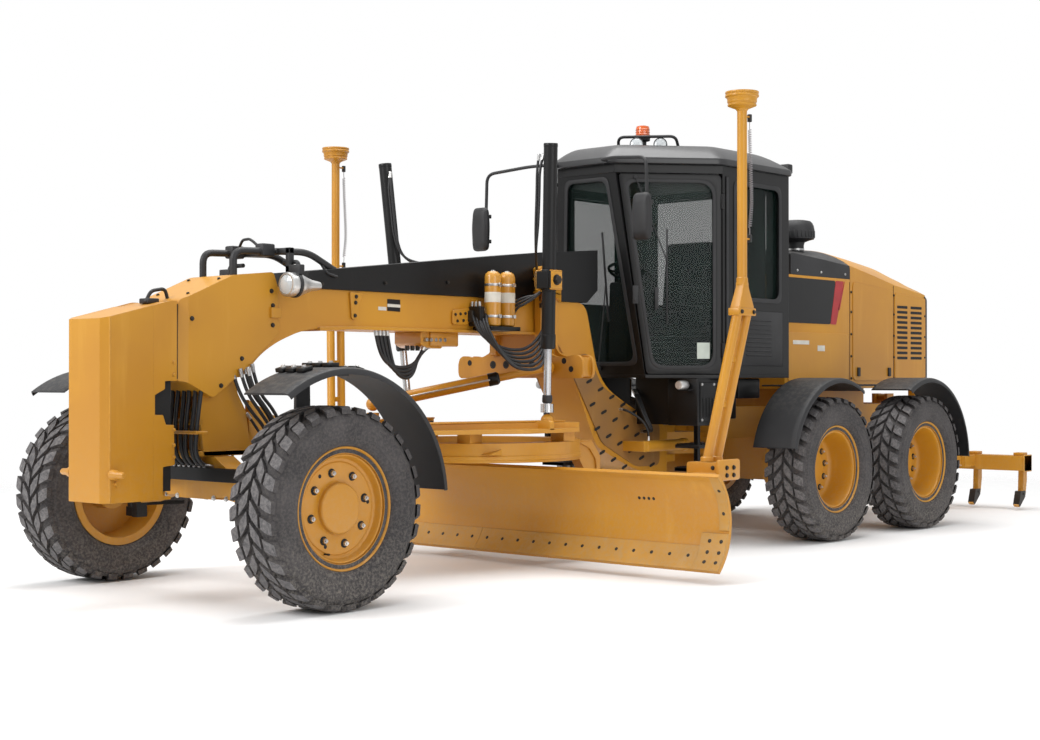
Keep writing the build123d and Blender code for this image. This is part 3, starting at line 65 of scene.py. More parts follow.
# Camera: at the photograph's viewing angle
PHOTO_WIDTH = 1040
FOCAL_PIXELS = 1634.6
CAMERA_PLACE = Vector((10.542, 8.124, 1.331))
CAMERA_AZIMUTH = math.radians(131.617)
CAMERA_ELEVATION = math.radians(-0.252)


def place_camera():
    """The camera, looking level at the machine's front left corner."""
    flat = math.cos(CAMERA_ELEVATION)
    back = Vector((math.sin(CAMERA_AZIMUTH) * flat, -math.cos(CAMERA_AZIMUTH) * flat, math.sin(CAMERA_ELEVATION)))
    right = Vector((math.cos(CAMERA_AZIMUTH), math.sin(CAMERA_AZIMUTH), 0))
    turn = Matrix((right, back.cross(right), back)).transposed()
    data = bpy.data.cameras.new("camera")
    data.sensor_width = 36
    data.lens = FOCAL_PIXELS / PHOTO_WIDTH * data.sensor_width
    data.clip_end = 200
    camera = bpy.data.objects.new("camera", data)
    camera.matrix_world = Matrix.Translation(CAMERA_PLACE) @ turn.to_4x4()
    scene.collection.objects.link(camera)
    scene.camera = camera


place_camera()
scene.view_settings.view_transform = "Standard"


# Shader sums: a socket that adds Math nodes as it is used
class Shade:
    """One socket of a shader tree."""

    def __init__(self, tree, socket):
        self.tree = tree
        self.socket = socket

    def node(self, kind, settings=None, out=0, **values):
        """A new node: its settings first, then its sockets' values or links."""
        made = self.tree.nodes.new("ShaderNode" + kind)
        for name, value in (settings or {}).items():
            if name == "stops":
                ramp = made.color_ramp
                while len(ramp.elements) < len(value):
                    ramp.elements.new(0.5)
                for element, (place, colour) in zip(ramp.elements, value):
                    element.position = place
                    element.color = (*colour, 1)
            else:
                setattr(made, name, value)
        for name, value in values.items():
            socket = made.inputs[int(name[1:]) if name[0] == "n" and name[1:].isdigit() else name.replace("_", " ")]
            if isinstance(value, Shade):
                self.tree.links.new(value.socket, socket)
            else:
                socket.default_value = value
        return Shade(self.tree, made.outputs[out])

    def math(self, operation, other):
        return self.node("Math", {"operation": operation}, n0=self, n1=other)

    def __add__(self, other):
        return self.math("ADD", other)

    def __mul__(self, other):
        return self.math("MULTIPLY", other)

    __radd__ = __add__
    __rmul__ = __mul__

    def __rsub__(self, other):
        return self.node("Math", {"operation": "SUBTRACT"}, n0=other, n1=self)

    def between(self, low, high):
        """0 at low and 1 at high, smooth between."""
        return self.node("MapRange", {"interpolation_type": "SMOOTHSTEP"}, Value=self, From_Min=low, From_Max=high)

    def mix(self, first, second):
        """Colours mixed by this mask."""
        return self.node("MixRGB", None, Fac=self, Color1=first, Color2=second)


def linear(red, green, blue):
    """A screen colour, 0 to 255, as the linear colour that a shader takes."""
    def one(value):
        share = value / 255
        return share / 12.92 if share <= 0.04045 else ((share + 0.055) / 1.055) ** 2.4

    return (one(red), one(green), one(blue), 1.0)


class Finish:
    """A material with one main shader, and the places that its patterns read."""

    def __init__(self, name, **constants):
        self.material = bpy.data.materials.new(name)
        self.material.use_nodes = True
        self.tree = self.material.node_tree
        self.shader = self.tree.nodes["Principled BSDF"]
        for key, value in constants.items():
            self.shader.inputs[key.replace("_", " ")].default_value = value
        self.start = Shade(self.tree, None)
        self.place = self.start.node("TexCoord", out="Object")
        axes = self.tree.nodes.new("ShaderNodeSeparateXYZ")
        self.tree.links.new(self.place.socket, axes.inputs[0])
        self.x, self.y, self.z = (Shade(self.tree, output) for output in axes.outputs)
        facing = self.tree.nodes.new("ShaderNodeSeparateXYZ")
        self.normal = self.start.node("NewGeometry", out="Normal")
        self.tree.links.new(self.normal.socket, facing.inputs[0])
        self.up = Shade(self.tree, facing.outputs[2])

    def noise(self, scale, detail=3.0, rough=0.5, stretch=None):
        place = self.place
        if stretch:
            place = place.node("VectorMath", {"operation": "MULTIPLY"}, n0=place, n1=stretch)
        return place.node("TexNoise", None, Vector=place, Scale=scale, Detail=detail, Roughness=rough)

    def feed(self, socket, value):
        self.tree.links.new(value.socket, self.shader.inputs[socket])

    def bump(self, height, distance, strength=1.0, normal=None):
        values = {"Height": height, "Distance": distance, "Strength": strength}
        if normal:
            values["Normal"] = normal
        self.feed("Normal", height.node("Bump", None, **values))

    def soft_edges(self, radius):
        """The normal of slightly rounded edges, and a mask that is 1 along them."""
        rounded = self.start.node("Bevel", {"samples": 4}, Radius=radius)
        across = rounded.node("VectorMath", {"operation": "DOT_PRODUCT"}, out="Value", n0=rounded, n1=self.normal)
        return rounded, (1 - across).between(0.01, 0.12)


def painted(name, colour, light, dark, rough=0.4, coat=0.22, edge=0.007, dust=0.35, dust_colour=None, gloss=0.5):
    """Enamel paint: slow tone drift, faint orange peel, dust low down and on flats, and soft edges painted lighter,
    partly as wear and partly as a painted highlight.
    """
    finish = Finish(name, Roughness=rough, Coat_Roughness=0.18, Specular_IOR_Level=gloss)
    drift = finish.noise(1.1, 4)
    speck = finish.noise(38, 5, 0.65)
    streak = finish.noise(2.6, 4, 0.6, (3.2, 3.2, 0.35))
    rounded, edges = finish.soft_edges(edge)
    tone = drift.between(0.35, 0.68).mix(dark, colour)
    tone = (streak.between(0.55, 0.8) * 0.35).mix(tone, light)
    low = 1 - finish.z.between(0.05, 1.3)
    settled = finish.up.between(0.6, 0.98) * 0.45
    grime = (low * 0.6 + settled) * speck.between(0.35, 0.72) * dust
    tone = grime.mix(tone, dust_colour or linear(168, 150, 118))
    # Lighter along the edges: partly wear, partly a painted highlight where rounded edges would catch the light
    tone = (edges * speck.between(0.4, 0.6) * 0.35).mix(tone, light)
    finish.feed("Base Color", tone)
    finish.feed("Roughness", grime * 0.5 + (rough + 0.1 * drift))
    finish.feed("Coat Weight", (1 - grime.between(0, 0.4)) * coat)
    finish.bump(finish.noise(260, 2) * 0.35 + speck * 0.12, 0.0012, 0.25, rounded)
    return finish.material


YELLOW = linear(202, 142, 26)
YELLOW_LIGHT = linear(216, 160, 58)
YELLOW_DARK = linear(190, 130, 28)
BLACK = linear(15, 15, 16)
BLACK_LIGHT = linear(35, 34, 36)
BLACK_DARK = linear(11, 11, 12)

yellow_paint = painted("yellow_enamel", YELLOW, YELLOW_LIGHT, YELLOW_DARK)
# A lighter copy of the black paint for the roof: painted light, so that the roof's top looks lit
roof_paint_with_painted_light = painted("roof_enamel_with_painted_light", linear(30, 30, 32), linear(52, 51, 54), linear(24, 24, 26), 0.36, 0.3, 0.007,
                     0.22,
                     linear(86, 80, 72))
black_paint = painted("black_enamel", BLACK, BLACK_LIGHT, BLACK_DARK, 0.34, 0.08, 0.007, 0.16, linear(70, 66, 60),
                      0.3)
worn_yellow = painted("trodden_enamel", linear(160, 112, 44), linear(176, 138, 84), linear(132, 96, 54), 0.55, 0.05,
                      0.004, 0.8,
                      linear(126, 100, 70))
gold_paint = painted("gold_enamel", linear(206, 148, 54), YELLOW_LIGHT, YELLOW_DARK, 0.3, 0.5)


def plastic():
    """Moulded black plastic with a fine grain."""
    finish = Finish("black_plastic", Roughness=0.55)
    grain = finish.noise(420, 3, 0.7)
    tone = finish.noise(3, 3).between(0.3, 0.7).mix(linear(24, 24, 26), linear(36, 36, 38))
    dusty = finish.up.between(0.5, 1) * finish.noise(30, 4).between(0.4, 0.7) * 0.4
    finish.feed("Base Color", dusty.mix(tone, linear(92, 87, 80)))
    finish.feed("Roughness", 0.42 + 0.25 * grain)
    rounded, _ = finish.soft_edges(0.006)
    finish.bump(grain, 0.0008, 0.35, rounded)
    return finish.material


def tyre_rubber():
    """Dusty rubber: pale worn block tops, darker sides and grooves."""
    finish = Finish("tyre_rubber", Roughness=0.8, Specular_IOR_Level=0.35)
    fine = finish.noise(60, 6, 0.7)
    broad = finish.noise(5, 4)
    tone = broad.between(0.3, 0.7).mix(linear(52, 50, 52), linear(70, 67, 68))
    dusty = (0.25 + 0.5 * (1 - finish.z.between(0.0, 0.6))) * fine.between(0.38, 0.7)
    finish.feed("Base Color", dusty.mix(tone, linear(132, 126, 118)))
    finish.feed("Roughness", 0.68 + 0.25 * fine)
    finish.bump(fine + finish.noise(300, 3) * 0.4, 0.002, 0.4)
    return finish.material


def worn_rubber():
    """The tops of the tread blocks, greyed by the road."""
    finish = Finish("worn_rubber", Roughness=0.85, Specular_IOR_Level=0.3)
    fine = finish.noise(45, 6, 0.7)
    tone = fine.between(0.3, 0.75).mix(linear(78, 76, 78), linear(126, 123, 122))
    finish.feed("Base Color", tone)
    finish.feed("Roughness", 0.72 + 0.2 * fine)
    finish.bump(fine, 0.002, 0.45)
    return finish.material


def polished(name, colour, rough):
    """Bare metal with fine lines."""
    finish = Finish(name, Metallic=1.0, Roughness=rough)
    lines = finish.noise(500, 3, 0.6)
    finish.feed("Base Color", finish.noise(6, 3).between(0.2, 0.8).mix(colour, linear(230, 229, 226)))
    finish.feed("Roughness", rough + 0.12 * lines)
    finish.bump(lines, 0.0004, 0.2)
    return finish.material


def tinted_glass():
    """Flat glass with a green tint."""
    finish = Finish("tinted_glass", Roughness=0.03, IOR=1.45, Specular_IOR_Level=0.25)
    smear = finish.noise(3, 4)
    finish.feed("Base Color", smear.between(0.3, 0.7).mix(linear(14, 28, 25), linear(22, 40, 35)))
    finish.feed("Roughness", 0.02 + 0.06 * smear.between(0.5, 0.8))
    finish.feed("Alpha", 0.34 + 0.05 * smear)
    return finish.material


def plain(name, colour, rough, grain=120, **constants):
    """A simple finish with a little drift and grain."""
    finish = Finish(name, Roughness=rough, **constants)
    fine = finish.noise(grain, 4, 0.6)
    shade = tuple(value * 0.8 for value in colour[:3]) + (1.0,)
    finish.feed("Base Color", finish.noise(7, 3).between(0.3, 0.7).mix(shade, colour))
    finish.feed("Roughness", rough - 0.06 + 0.12 * fine)
    finish.bump(fine, 0.0006, 0.3)
    return finish.material


black_plastic = plastic()
rubber = tyre_rubber()
rubber_tops = worn_rubber()
chrome = polished("chrome_rod", linear(205, 205, 208), 0.12)
bright_steel = polished("bright_steel", linear(150, 150, 152), 0.3)
dark_steel = plain("dark_steel", linear(58, 54, 50), 0.45, 200, Metallic=0.6)
glass = tinted_glass()
seat_trim = plain("seat_trim", linear(34, 34, 37), 0.8, 300)
hose_rubber = plain("hose_rubber", linear(34, 34, 36), 0.5, 500)
cord_grey = plain("cord_grey", linear(150, 146, 150), 0.5, 500)
white_band = plain("white_band", linear(226, 222, 210), 0.45)
red_stripe = plain("red_stripe", linear(176, 40, 44), 0.4)
amber = plain("amber_lens", linear(226, 100, 22), 0.15, 60, Coat_Weight=0.8)
lens = plain("lamp_lens", linear(205, 210, 212), 0.12, 60, Coat_Weight=0.9)
red_lens = plain("red_lens", linear(150, 24, 22), 0.2, 60, Coat_Weight=0.8)
# Near black: the own colour of a valve and of seams, and painted shade standing in for holes, slots and a recess
dark_parts_and_painted_shade = plain("dark_parts_and_painted_shade", linear(14, 14, 15), 0.7)

SLOT_FINISH = {
    "yellow_paint": yellow_paint,
    "black_paint": black_paint,
    "black_plastic": black_plastic,
    "tyre_rubber": rubber,
    "chrome_rod": chrome,
    "cab_glass": glass,
    "seat_trim": seat_trim,
    "cord_grey": cord_grey,
}


def dress_nodes():
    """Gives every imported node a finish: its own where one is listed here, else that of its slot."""
    own = {"lift_barrels": black_paint, "accumulators": gold_paint, "moldboard": yellow_paint,
           "lean_bar": black_paint}
    slots = {entry["node"]: entry["material_slot"] for entry in frame["record"]["subparts"]}
    for name, piece in nodes.items():
        finish = own.get(name) or SLOT_FINISH[slots[name]]
        piece.data.materials.clear()
        piece.data.materials.append(finish)


dress_nodes()


# Meshes: every piece is made in place, in the machine's frame
def finish_piece(name, shape, body, *finishes, smooth=0.6, slot=None, replaces=()):
    """A mesh piece from a bmesh, smooth but for its sharp edges, riding on a body."""
    data = bpy.data.meshes.new(name)
    bmesh.ops.recalc_face_normals(shape, faces=shape.faces)
    for face in shape.faces:
        face.smooth = smooth > 0
    for edge in shape.edges:
        edge.smooth = len(edge.link_faces) == 2 and edge.calc_face_angle(0) < smooth
    shape.to_mesh(data)
    shape.free()
    for finish in finishes:
        data.materials.append(finish)
    piece = bpy.data.objects.new(name, data)
    scene.collection.objects.link(piece)
    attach(piece, body)
    if replaces:
        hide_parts(*replaces)
    return piece


def add_ring(shape, points):
    return [shape.verts.new(point) for point in points]


def bridge(shape, first, second, index=0):
    """Quads between two closed rows of as many vertices."""
    count = len(first)
    for k in range(count):
        face = shape.faces.new((first[k], first[(k + 1) % count], second[(k + 1) % count], second[k]))
        face.material_index = index


def skin(shape, rows):
    """Quads between closed rows of vertices, and a face over each end."""
    for first, second in zip(rows, rows[1:]):
        bridge(shape, first, second)
    for end in (rows[0], rows[-1]):
        shape.faces.new(end)


def add_lathe(shape, profile, place, segments=72, index=0):
    """Turns (radius, height) points about a placed Z axis; a radius of 0 closes to a point."""
    rows = []
    for radius, height in profile:
        if radius < 1e-6:
            rows.append([shape.verts.new(place @ Vector((0, 0, height)))])
            continue
        angles = [2 * math.pi * k / segments for k in range(segments)]
        rows.append(add_ring(shape, [
            place @ Vector((radius * math.cos(a), radius * math.sin(a), height)) for a in angles
        ]))
    for first, second in zip(rows, rows[1:]):
        if len(first) == 1 or len(second) == 1:
            tip, ring = (first[0], second) if len(first) == 1 else (second[0], first)
            for k in range(segments):
                face = shape.faces.new((tip, ring[k], ring[(k + 1) % segments]))
                face.material_index = index
            continue
        bridge(shape, first, second, index)


def ease_edges(shape, edges, reach):
    """Rounds edges off, two faces wide."""
    bmesh.ops.bevel(shape, geom=edges, offset=reach, segments=2, profile=0.5, affect="EDGES")


def add_box(shape, low, high, place=None, bevel=0.0):
    """A box from its low to its high corner, with bevelled edges."""
    place = place or Matrix.Identity(4)
    middle = (Vector(low) + Vector(high)) / 2
    size = Vector(high) - Vector(low)
    cube = place @ Matrix.Translation(middle) @ Matrix.Diagonal((*size, 1))
    made = bmesh.ops.create_cube(shape, size=1, matrix=cube)
    if bevel:
        edges = list({edge for vert in made["verts"] for edge in vert.link_edges})
        ease_edges(shape, edges, bevel)


def add_prism(shape, outline, place, depth, index=0, bevel=0.0):
    """A flat outline of (x, y) points raised along a placed Z axis from 0 to depth."""
    base = add_ring(shape, [place @ Vector((x, y, 0)) for x, y in outline])
    top = add_ring(shape, [place @ Vector((x, y, depth)) for x, y in outline])
    made = [shape.faces.new(list(reversed(base))), shape.faces.new(top)]
    bridge(shape, base, top, index)
    for face in made:
        face.material_index = index
    if bevel:
        ease_edges(shape, list(made[1].edges), bevel)


def along(start, direction):
    """A place whose Z axis points along a direction."""
    return Matrix.Translation(Vector(start)) @ Vector(direction).to_track_quat("Z", "Y").to_matrix().to_4x4()


def add_rod(shape, start, end, radius, segments=20):
    """A round bar with slightly eased ends."""
    start, end = Vector(start), Vector(end)
    length = (end - start).length
    ease = min(radius * 0.15, 0.004)
    profile = [(0, 0), (radius - ease, 0), (radius, ease), (radius, length - ease), (radius - ease, length),
               (0, length)]
    add_lathe(shape, profile, along(start, end - start), segments)


def hexagon(size):
    return [(size * math.cos(k * math.pi / 3), size * math.sin(k * math.pi / 3)) for k in range(6)]


def add_bolt(shape, place, size, washer=True):
    """A hexagon head on a washer, on a placed Z axis."""
    if washer:
        add_lathe(shape, [(size * 1.25, 0), (size * 1.25, size * 0.18), (0, size * 0.18)], place, 16)
    head = place @ Matrix.Translation((0, 0, size * 0.18))
    add_prism(shape, hexagon(size), head, size * 0.7, 0, size * 0.12)


# Wheels
WHEELS = (
    ("front_left", FRONT_AXLE_X, 1, True),
    ("front_right", FRONT_AXLE_X, -1, True), ("mid_left", MID_AXLE_X, 1, False), ("mid_right", MID_AXLE_X, -1, False),
    ("rear_left", REAR_AXLE_X, 1, False),
    ("rear_right", REAR_AXLE_X, -1, False),
)
TYRE_RADIUS = 0.585
TREAD_DEPTH = 0.024
TREAD_BLOCKS = 30
# Columns: radius, distance from the middle of the tread; the sidewall from bead to shoulder
SIDEWALL = (
    (0.3175, 0.136), (0.352, 0.138), (0.358, 0.150), (0.368, 0.163), (0.386, 0.1745), (0.400, 0.1775),
    (0.404, 0.1805), (0.412, 0.1805), (0.416, 0.1795), (0.440, 0.1825), (0.470, 0.1835), (0.492, 0.1815),
    (0.497, 0.1835), (0.507, 0.1825), (0.512, 0.1785), (0.530, 0.1715), (0.547, 0.1610), (0.557, 0.1470),
)


def wheel_place(wheel_x, side):
    """A wheel's centre, with the Z axis pointing out of the machine."""
    return Matrix.Translation((wheel_x, side * HALF_TRACK, AXLE_Z)) @ Matrix.Rotation(-side * math.pi / 2, 4, "X")


def crown(across):
    """The tread's radius at a distance from the tyre's middle."""
    share = abs(across) / 0.184
    return TYRE_RADIUS - 0.0045 * share**2 - 0.012 * max(0.0, share - 0.7) ** 2 / 0.09


def add_tread(shape, place, index):
    """Two staggered middle rows of slanted blocks between two rows of shoulder blocks."""
    pitch = 2 * math.pi / TREAD_BLOCKS
    # Columns: across span, slant of the block's two sides, width along the tread, phase, all as shares of a pitch
    rows = (
        ((0.008, 0.083), 0.62, 0.66, 0.0), ((0.097, 0.180), 0.30, 0.60, 0.52),
    )
    for side in (1, -1):
        for (inner, outer), slant, width, phase in rows:
            if side < 0:
                phase += 0.5
            for k in range(TREAD_BLOCKS):
                middle = (k + phase) * pitch
                corners = []
                for step in range(4):
                    share = step / 3
                    across = inner + (outer - inner) * share
                    shift = slant * pitch * (share - 0.5)
                    swell = 0.5 * width * pitch * (1 + 0.12 * math.sin(math.pi * share))
                    corners.append((across, middle + shift - swell, middle + shift + swell))
                low_left, low_right, top_left, top_right = [], [], [], []
                for across, first, last in corners:
                    for angle, low, top, ease in ((first, low_left, top_left, 1), (last, low_right, top_right, -1)):
                        low.append((crown(across) - TREAD_DEPTH - 0.006, angle - ease * 0.004, across))
                        edge = 0.003 if across in (corners[0][0], corners[-1][0]) else 0.0
                        shrink = edge if across == corners[0][0] else -edge
                        top.append((crown(across), angle + ease * 0.006, across + shrink))

                def put(points):
                    return [
                        shape.verts.new(place @ Vector((r * math.cos(a), r * math.sin(a), side * y)))
                        for r, a, y in points
                    ]

                ll, lr, tl, tr = put(low_left), put(low_right), put(top_left), put(top_right)
                for first, second, tone in ((ll, tl, 0), (tl, tr, index), (tr, lr, 0)):
                    for m in range(3):
                        face = shape.faces.new((first[m], first[m + 1], second[m + 1], second[m]))
                        face.material_index = tone
                for m in (0, 3):
                    face = shape.faces.new((ll[m], tl[m], tr[m], lr[m]))
                    face.material_index = 0


def make_tyre(name, wheel_x, side):
    """One tyre: carcass, tread blocks and the rings on its sidewalls."""
    place = wheel_place(wheel_x, side)
    shape = bmesh.new()
    base = TYRE_RADIUS - TREAD_DEPTH
    half = [*SIDEWALL, (base - 0.0015, 0.128), (base, 0.09), (base, 0.0)]
    profile = half + [(radius, -across) for radius, across in reversed(half[:-1])]
    add_lathe(shape, profile, place, 120)
    add_tread(shape, place, 1)
    finish_piece(f"tyre_tread_{name}", shape, f"wheel_{name}", rubber, rubber_tops, smooth=0.5,
                 slot="tyre_rubber", replaces=[f"tyre_{name}"])


# Columns: radius, height from the tyre's middle plane towards the outer side
INNER_LIP = ((0.315, -0.136), (0.352, -0.138), (0.352, -0.150), (0.303, -0.150))
OUTER_LIP = (
    (0.295, 0.116), (0.301, 0.126), (0.307, 0.127), (0.311, 0.122), (0.316, 0.1225), (0.320, 0.131), (0.326, 0.1365),
    (0.331, 0.1345), (0.334, 0.131), (0.339, 0.1335), (0.342, 0.1425), (0.3465, 0.1485), (0.352, 0.1485),
    (0.3555, 0.144), (0.352, 0.1365), (0.315, 0.1355),
)
FRONT_RIM = INNER_LIP + ((0.300, -0.09), (0.288, 0.05), (0.120, 0.058), (0.118, -0.058), (0.0, -0.058))
FRONT_FACE = (
    (0.0, 0.1135), (0.128, 0.1135), (0.138, 0.112), (0.145, 0.106), (0.1475, 0.098), (0.1475, 0.0815),
    (0.156, 0.0815), (0.160, 0.0835), (0.262, 0.0835), (0.268, 0.078), (0.276, 0.078), (0.286, 0.083), (0.292, 0.094),
) + OUTER_LIP
REAR_FACE = (
    (0.0, -0.066), (0.128, -0.066), (0.138, -0.0675), (0.145, -0.073), (0.1475, -0.081), (0.1475, -0.0985),
    (0.156, -0.0985), (0.160, -0.0965), (0.246, -0.0965), (0.262, -0.090), (0.274, -0.078), (0.281, -0.060),
    (0.2850, 0.02), (0.2885, 0.07), (0.2925, 0.094),
) + OUTER_LIP
REAR_RIM = INNER_LIP + ((0.300, -0.125), (0.298, -0.119), (0.120, -0.119), (0.118, -0.134), (0.0, -0.134))
NUT_CIRCLE = 0.208


def make_rim(name, wheel_x, side, front):
    """One rim: stepped lips, the disc with its nuts and holes, and the hub cap."""
    place = wheel_place(wheel_x, side)
    shape = bmesh.new()
    face, back = (FRONT_FACE, FRONT_RIM) if front else (REAR_FACE, REAR_RIM)
    add_lathe(shape, face + back, place, 96)
    disc = 0.0835 if front else -0.0965
    nuts = 8 if front else 12
    for k in range(nuts):
        turn = Matrix.Rotation(2 * math.pi * (k + 0.3) / nuts, 4, "Z")
        seat = place @ turn @ Matrix.Translation((NUT_CIRCLE, 0, disc))
        # A dark disc under each nut: painted shade about the nut
        add_lathe(shape, [(0.026, 0.0005), (0.026, 0.003), (0, 0.003)], seat, 20, 2)
        add_prism(shape, hexagon(0.0165), seat @ Matrix.Translation((0, 0, 0.003)), 0.02, 1, 0.002)
        add_lathe(shape, [(0.0085, 0.022), (0.0085, 0.032), (0.006, 0.034), (0, 0.034)], seat, 12, 1)
    # The disc's holes are drawn as dark discs: painted shade in the openings
    for k in range(3):
        turn = Matrix.Rotation(2 * math.pi * (k + 0.55) / 3, 4, "Z")
        hole = place @ turn @ Matrix.Translation((0.232 if front else 0.228, 0, disc))
        add_lathe(shape, [(0.012, 0.0004), (0.0095, 0.001), (0, 0.001)], hole, 16, 2)
    valve = place @ Matrix.Rotation(1.2, 4, "Z") @ Matrix.Translation((0.272, 0, disc - 0.004))
    add_lathe(shape, [(0.005, 0), (0.005, 0.03), (0.0065, 0.031), (0.0065, 0.042), (0, 0.043)], valve, 10, 2)
    finish_piece(f"wheel_disc_{name}", shape, f"wheel_{name}", yellow_paint, bright_steel, dark_parts_and_painted_shade, smooth=0.5,
                 slot="yellow_paint", replaces=[f"rim_{name}"])


for wheel_name, wheel_x, wheel_side, is_front in WHEELS:
    make_tyre(wheel_name, wheel_x, wheel_side)
    make_rim(wheel_name, wheel_x, wheel_side, is_front)


# Outlines are (back, z): back is the distance behind the front axle
def at(back):
    return FRONT_AXLE_X - back


def eased(points, radius, steps=5):
    """An outline with rounded corners; radius is one number, or one for each corner."""
    made = []
    for k, point in enumerate(points):
        here = Vector(point)
        before = Vector(points[k - 1]) - here
        after = Vector(points[(k + 1) % len(points)]) - here
        reach = radius[k] if isinstance(radius, (list, tuple)) else radius
        reach = min(reach, before.length * 0.45, after.length * 0.45)
        if reach < 1e-4:
            made.append(tuple(here))
            continue
        start, end = here + before.normalized() * reach, here + after.normalized() * reach
        for step in range(steps + 1):
            share = step / steps
            made.append(tuple(start * (1 - share) ** 2 + here * 2 * share * (1 - share) + end * share**2))
    return made


def add_side_plate(shape, outline, y, index=0, bevel=0.0):
    """A (back, z) outline, straight across between two y."""
    low, high = sorted(y)
    place = Matrix(((1, 0, 0, 0), (0, 0, -1, high), (0, 1, 0, 0), (0, 0, 0, 1)))
    add_prism(shape, [(at(back), z) for back, z in outline], place, high - low, index, bevel)


def add_cross_plate(shape, outline, back, bevel=0.0):
    """A (y, z) outline, straight along between two distances behind the front axle."""
    low, high = sorted(at(value) for value in back)
    place = Matrix(((0, 0, 1, low), (1, 0, 0, 0), (0, 1, 0, 0), (0, 0, 0, 1)))
    add_prism(shape, outline, place, high - low, 0, bevel)


def add_floor_plate(shape, outline, z, bevel=0.0):
    """A (back, y) outline, straight up between two z."""
    flat = [(at(back), y) for back, y in outline]
    add_prism(shape, flat, Matrix.Translation((0, 0, z[0])), z[1] - z[0], 0, bevel)


def add_block(shape, back, y, z, bevel=0.004):
    """A box over spans of distance behind the front axle, y and z."""
    xs = sorted(at(value) for value in back)
    ys, zs = sorted(y), sorted(z)
    add_box(shape, (xs[0], ys[0], zs[0]), (xs[1], ys[1], zs[1]), None, bevel)


def oblong(across, up):
    """The four corners of an upright rectangle."""
    return [(across[0], up[0]), (across[1], up[0]), (across[1], up[1]), (across[0], up[1])]


def point(back, y, z):
    return Vector((at(back), y, z))


def route(*places):
    """Points from (back, y, z) places."""
    return [point(*place) for place in places]


def sideways(back, y, z):
    """A place on a face across Y, its Z axis pointing away from the machine's middle."""
    return along(point(back, y, z), (0, 1 if y > 0 else -1, 0))


def forwards(back, y, z):
    """A place whose Z axis points forwards."""
    return along(point(back, y, z), (1, 0, 0))


def add_side_bolts(shape, y, places, size=0.012):
    """Bolt heads on a face across Y."""
    for back, z in places:
        add_bolt(shape, sideways(back, y, z), size)


def add_tube(shape, points, radius, bend=0.05, segments=12):
    """A bent round tube through points, with rounded corners."""
    path = []
    for k, here in enumerate(points):
        here = Vector(here)
        if k in (0, len(points) - 1):
            path.append(here)
            continue
        before, after = Vector(points[k - 1]) - here, Vector(points[k + 1]) - here
        reach = min(bend, before.length * 0.45, after.length * 0.45)
        start, end = here + before.normalized() * reach, here + after.normalized() * reach
        for step in range(7):
            share = step / 6
            path.append(start * (1 - share) ** 2 + here * 2 * share * (1 - share) + end * share**2)
    rows = []
    side = None
    for k, here in enumerate(path):
        way = (path[min(k + 1, len(path) - 1)] - path[max(k - 1, 0)]).normalized()
        side = way.orthogonal().normalized() if side is None else (side - way * side.dot(way)).normalized()
        other = way.cross(side)
        rows.append(add_ring(shape, [
            here + radius * (math.cos(a) * side + math.sin(a) * other)
            for a in (2 * math.pi * n / segments for n in range(segments))
        ]))
    skin(shape, rows)


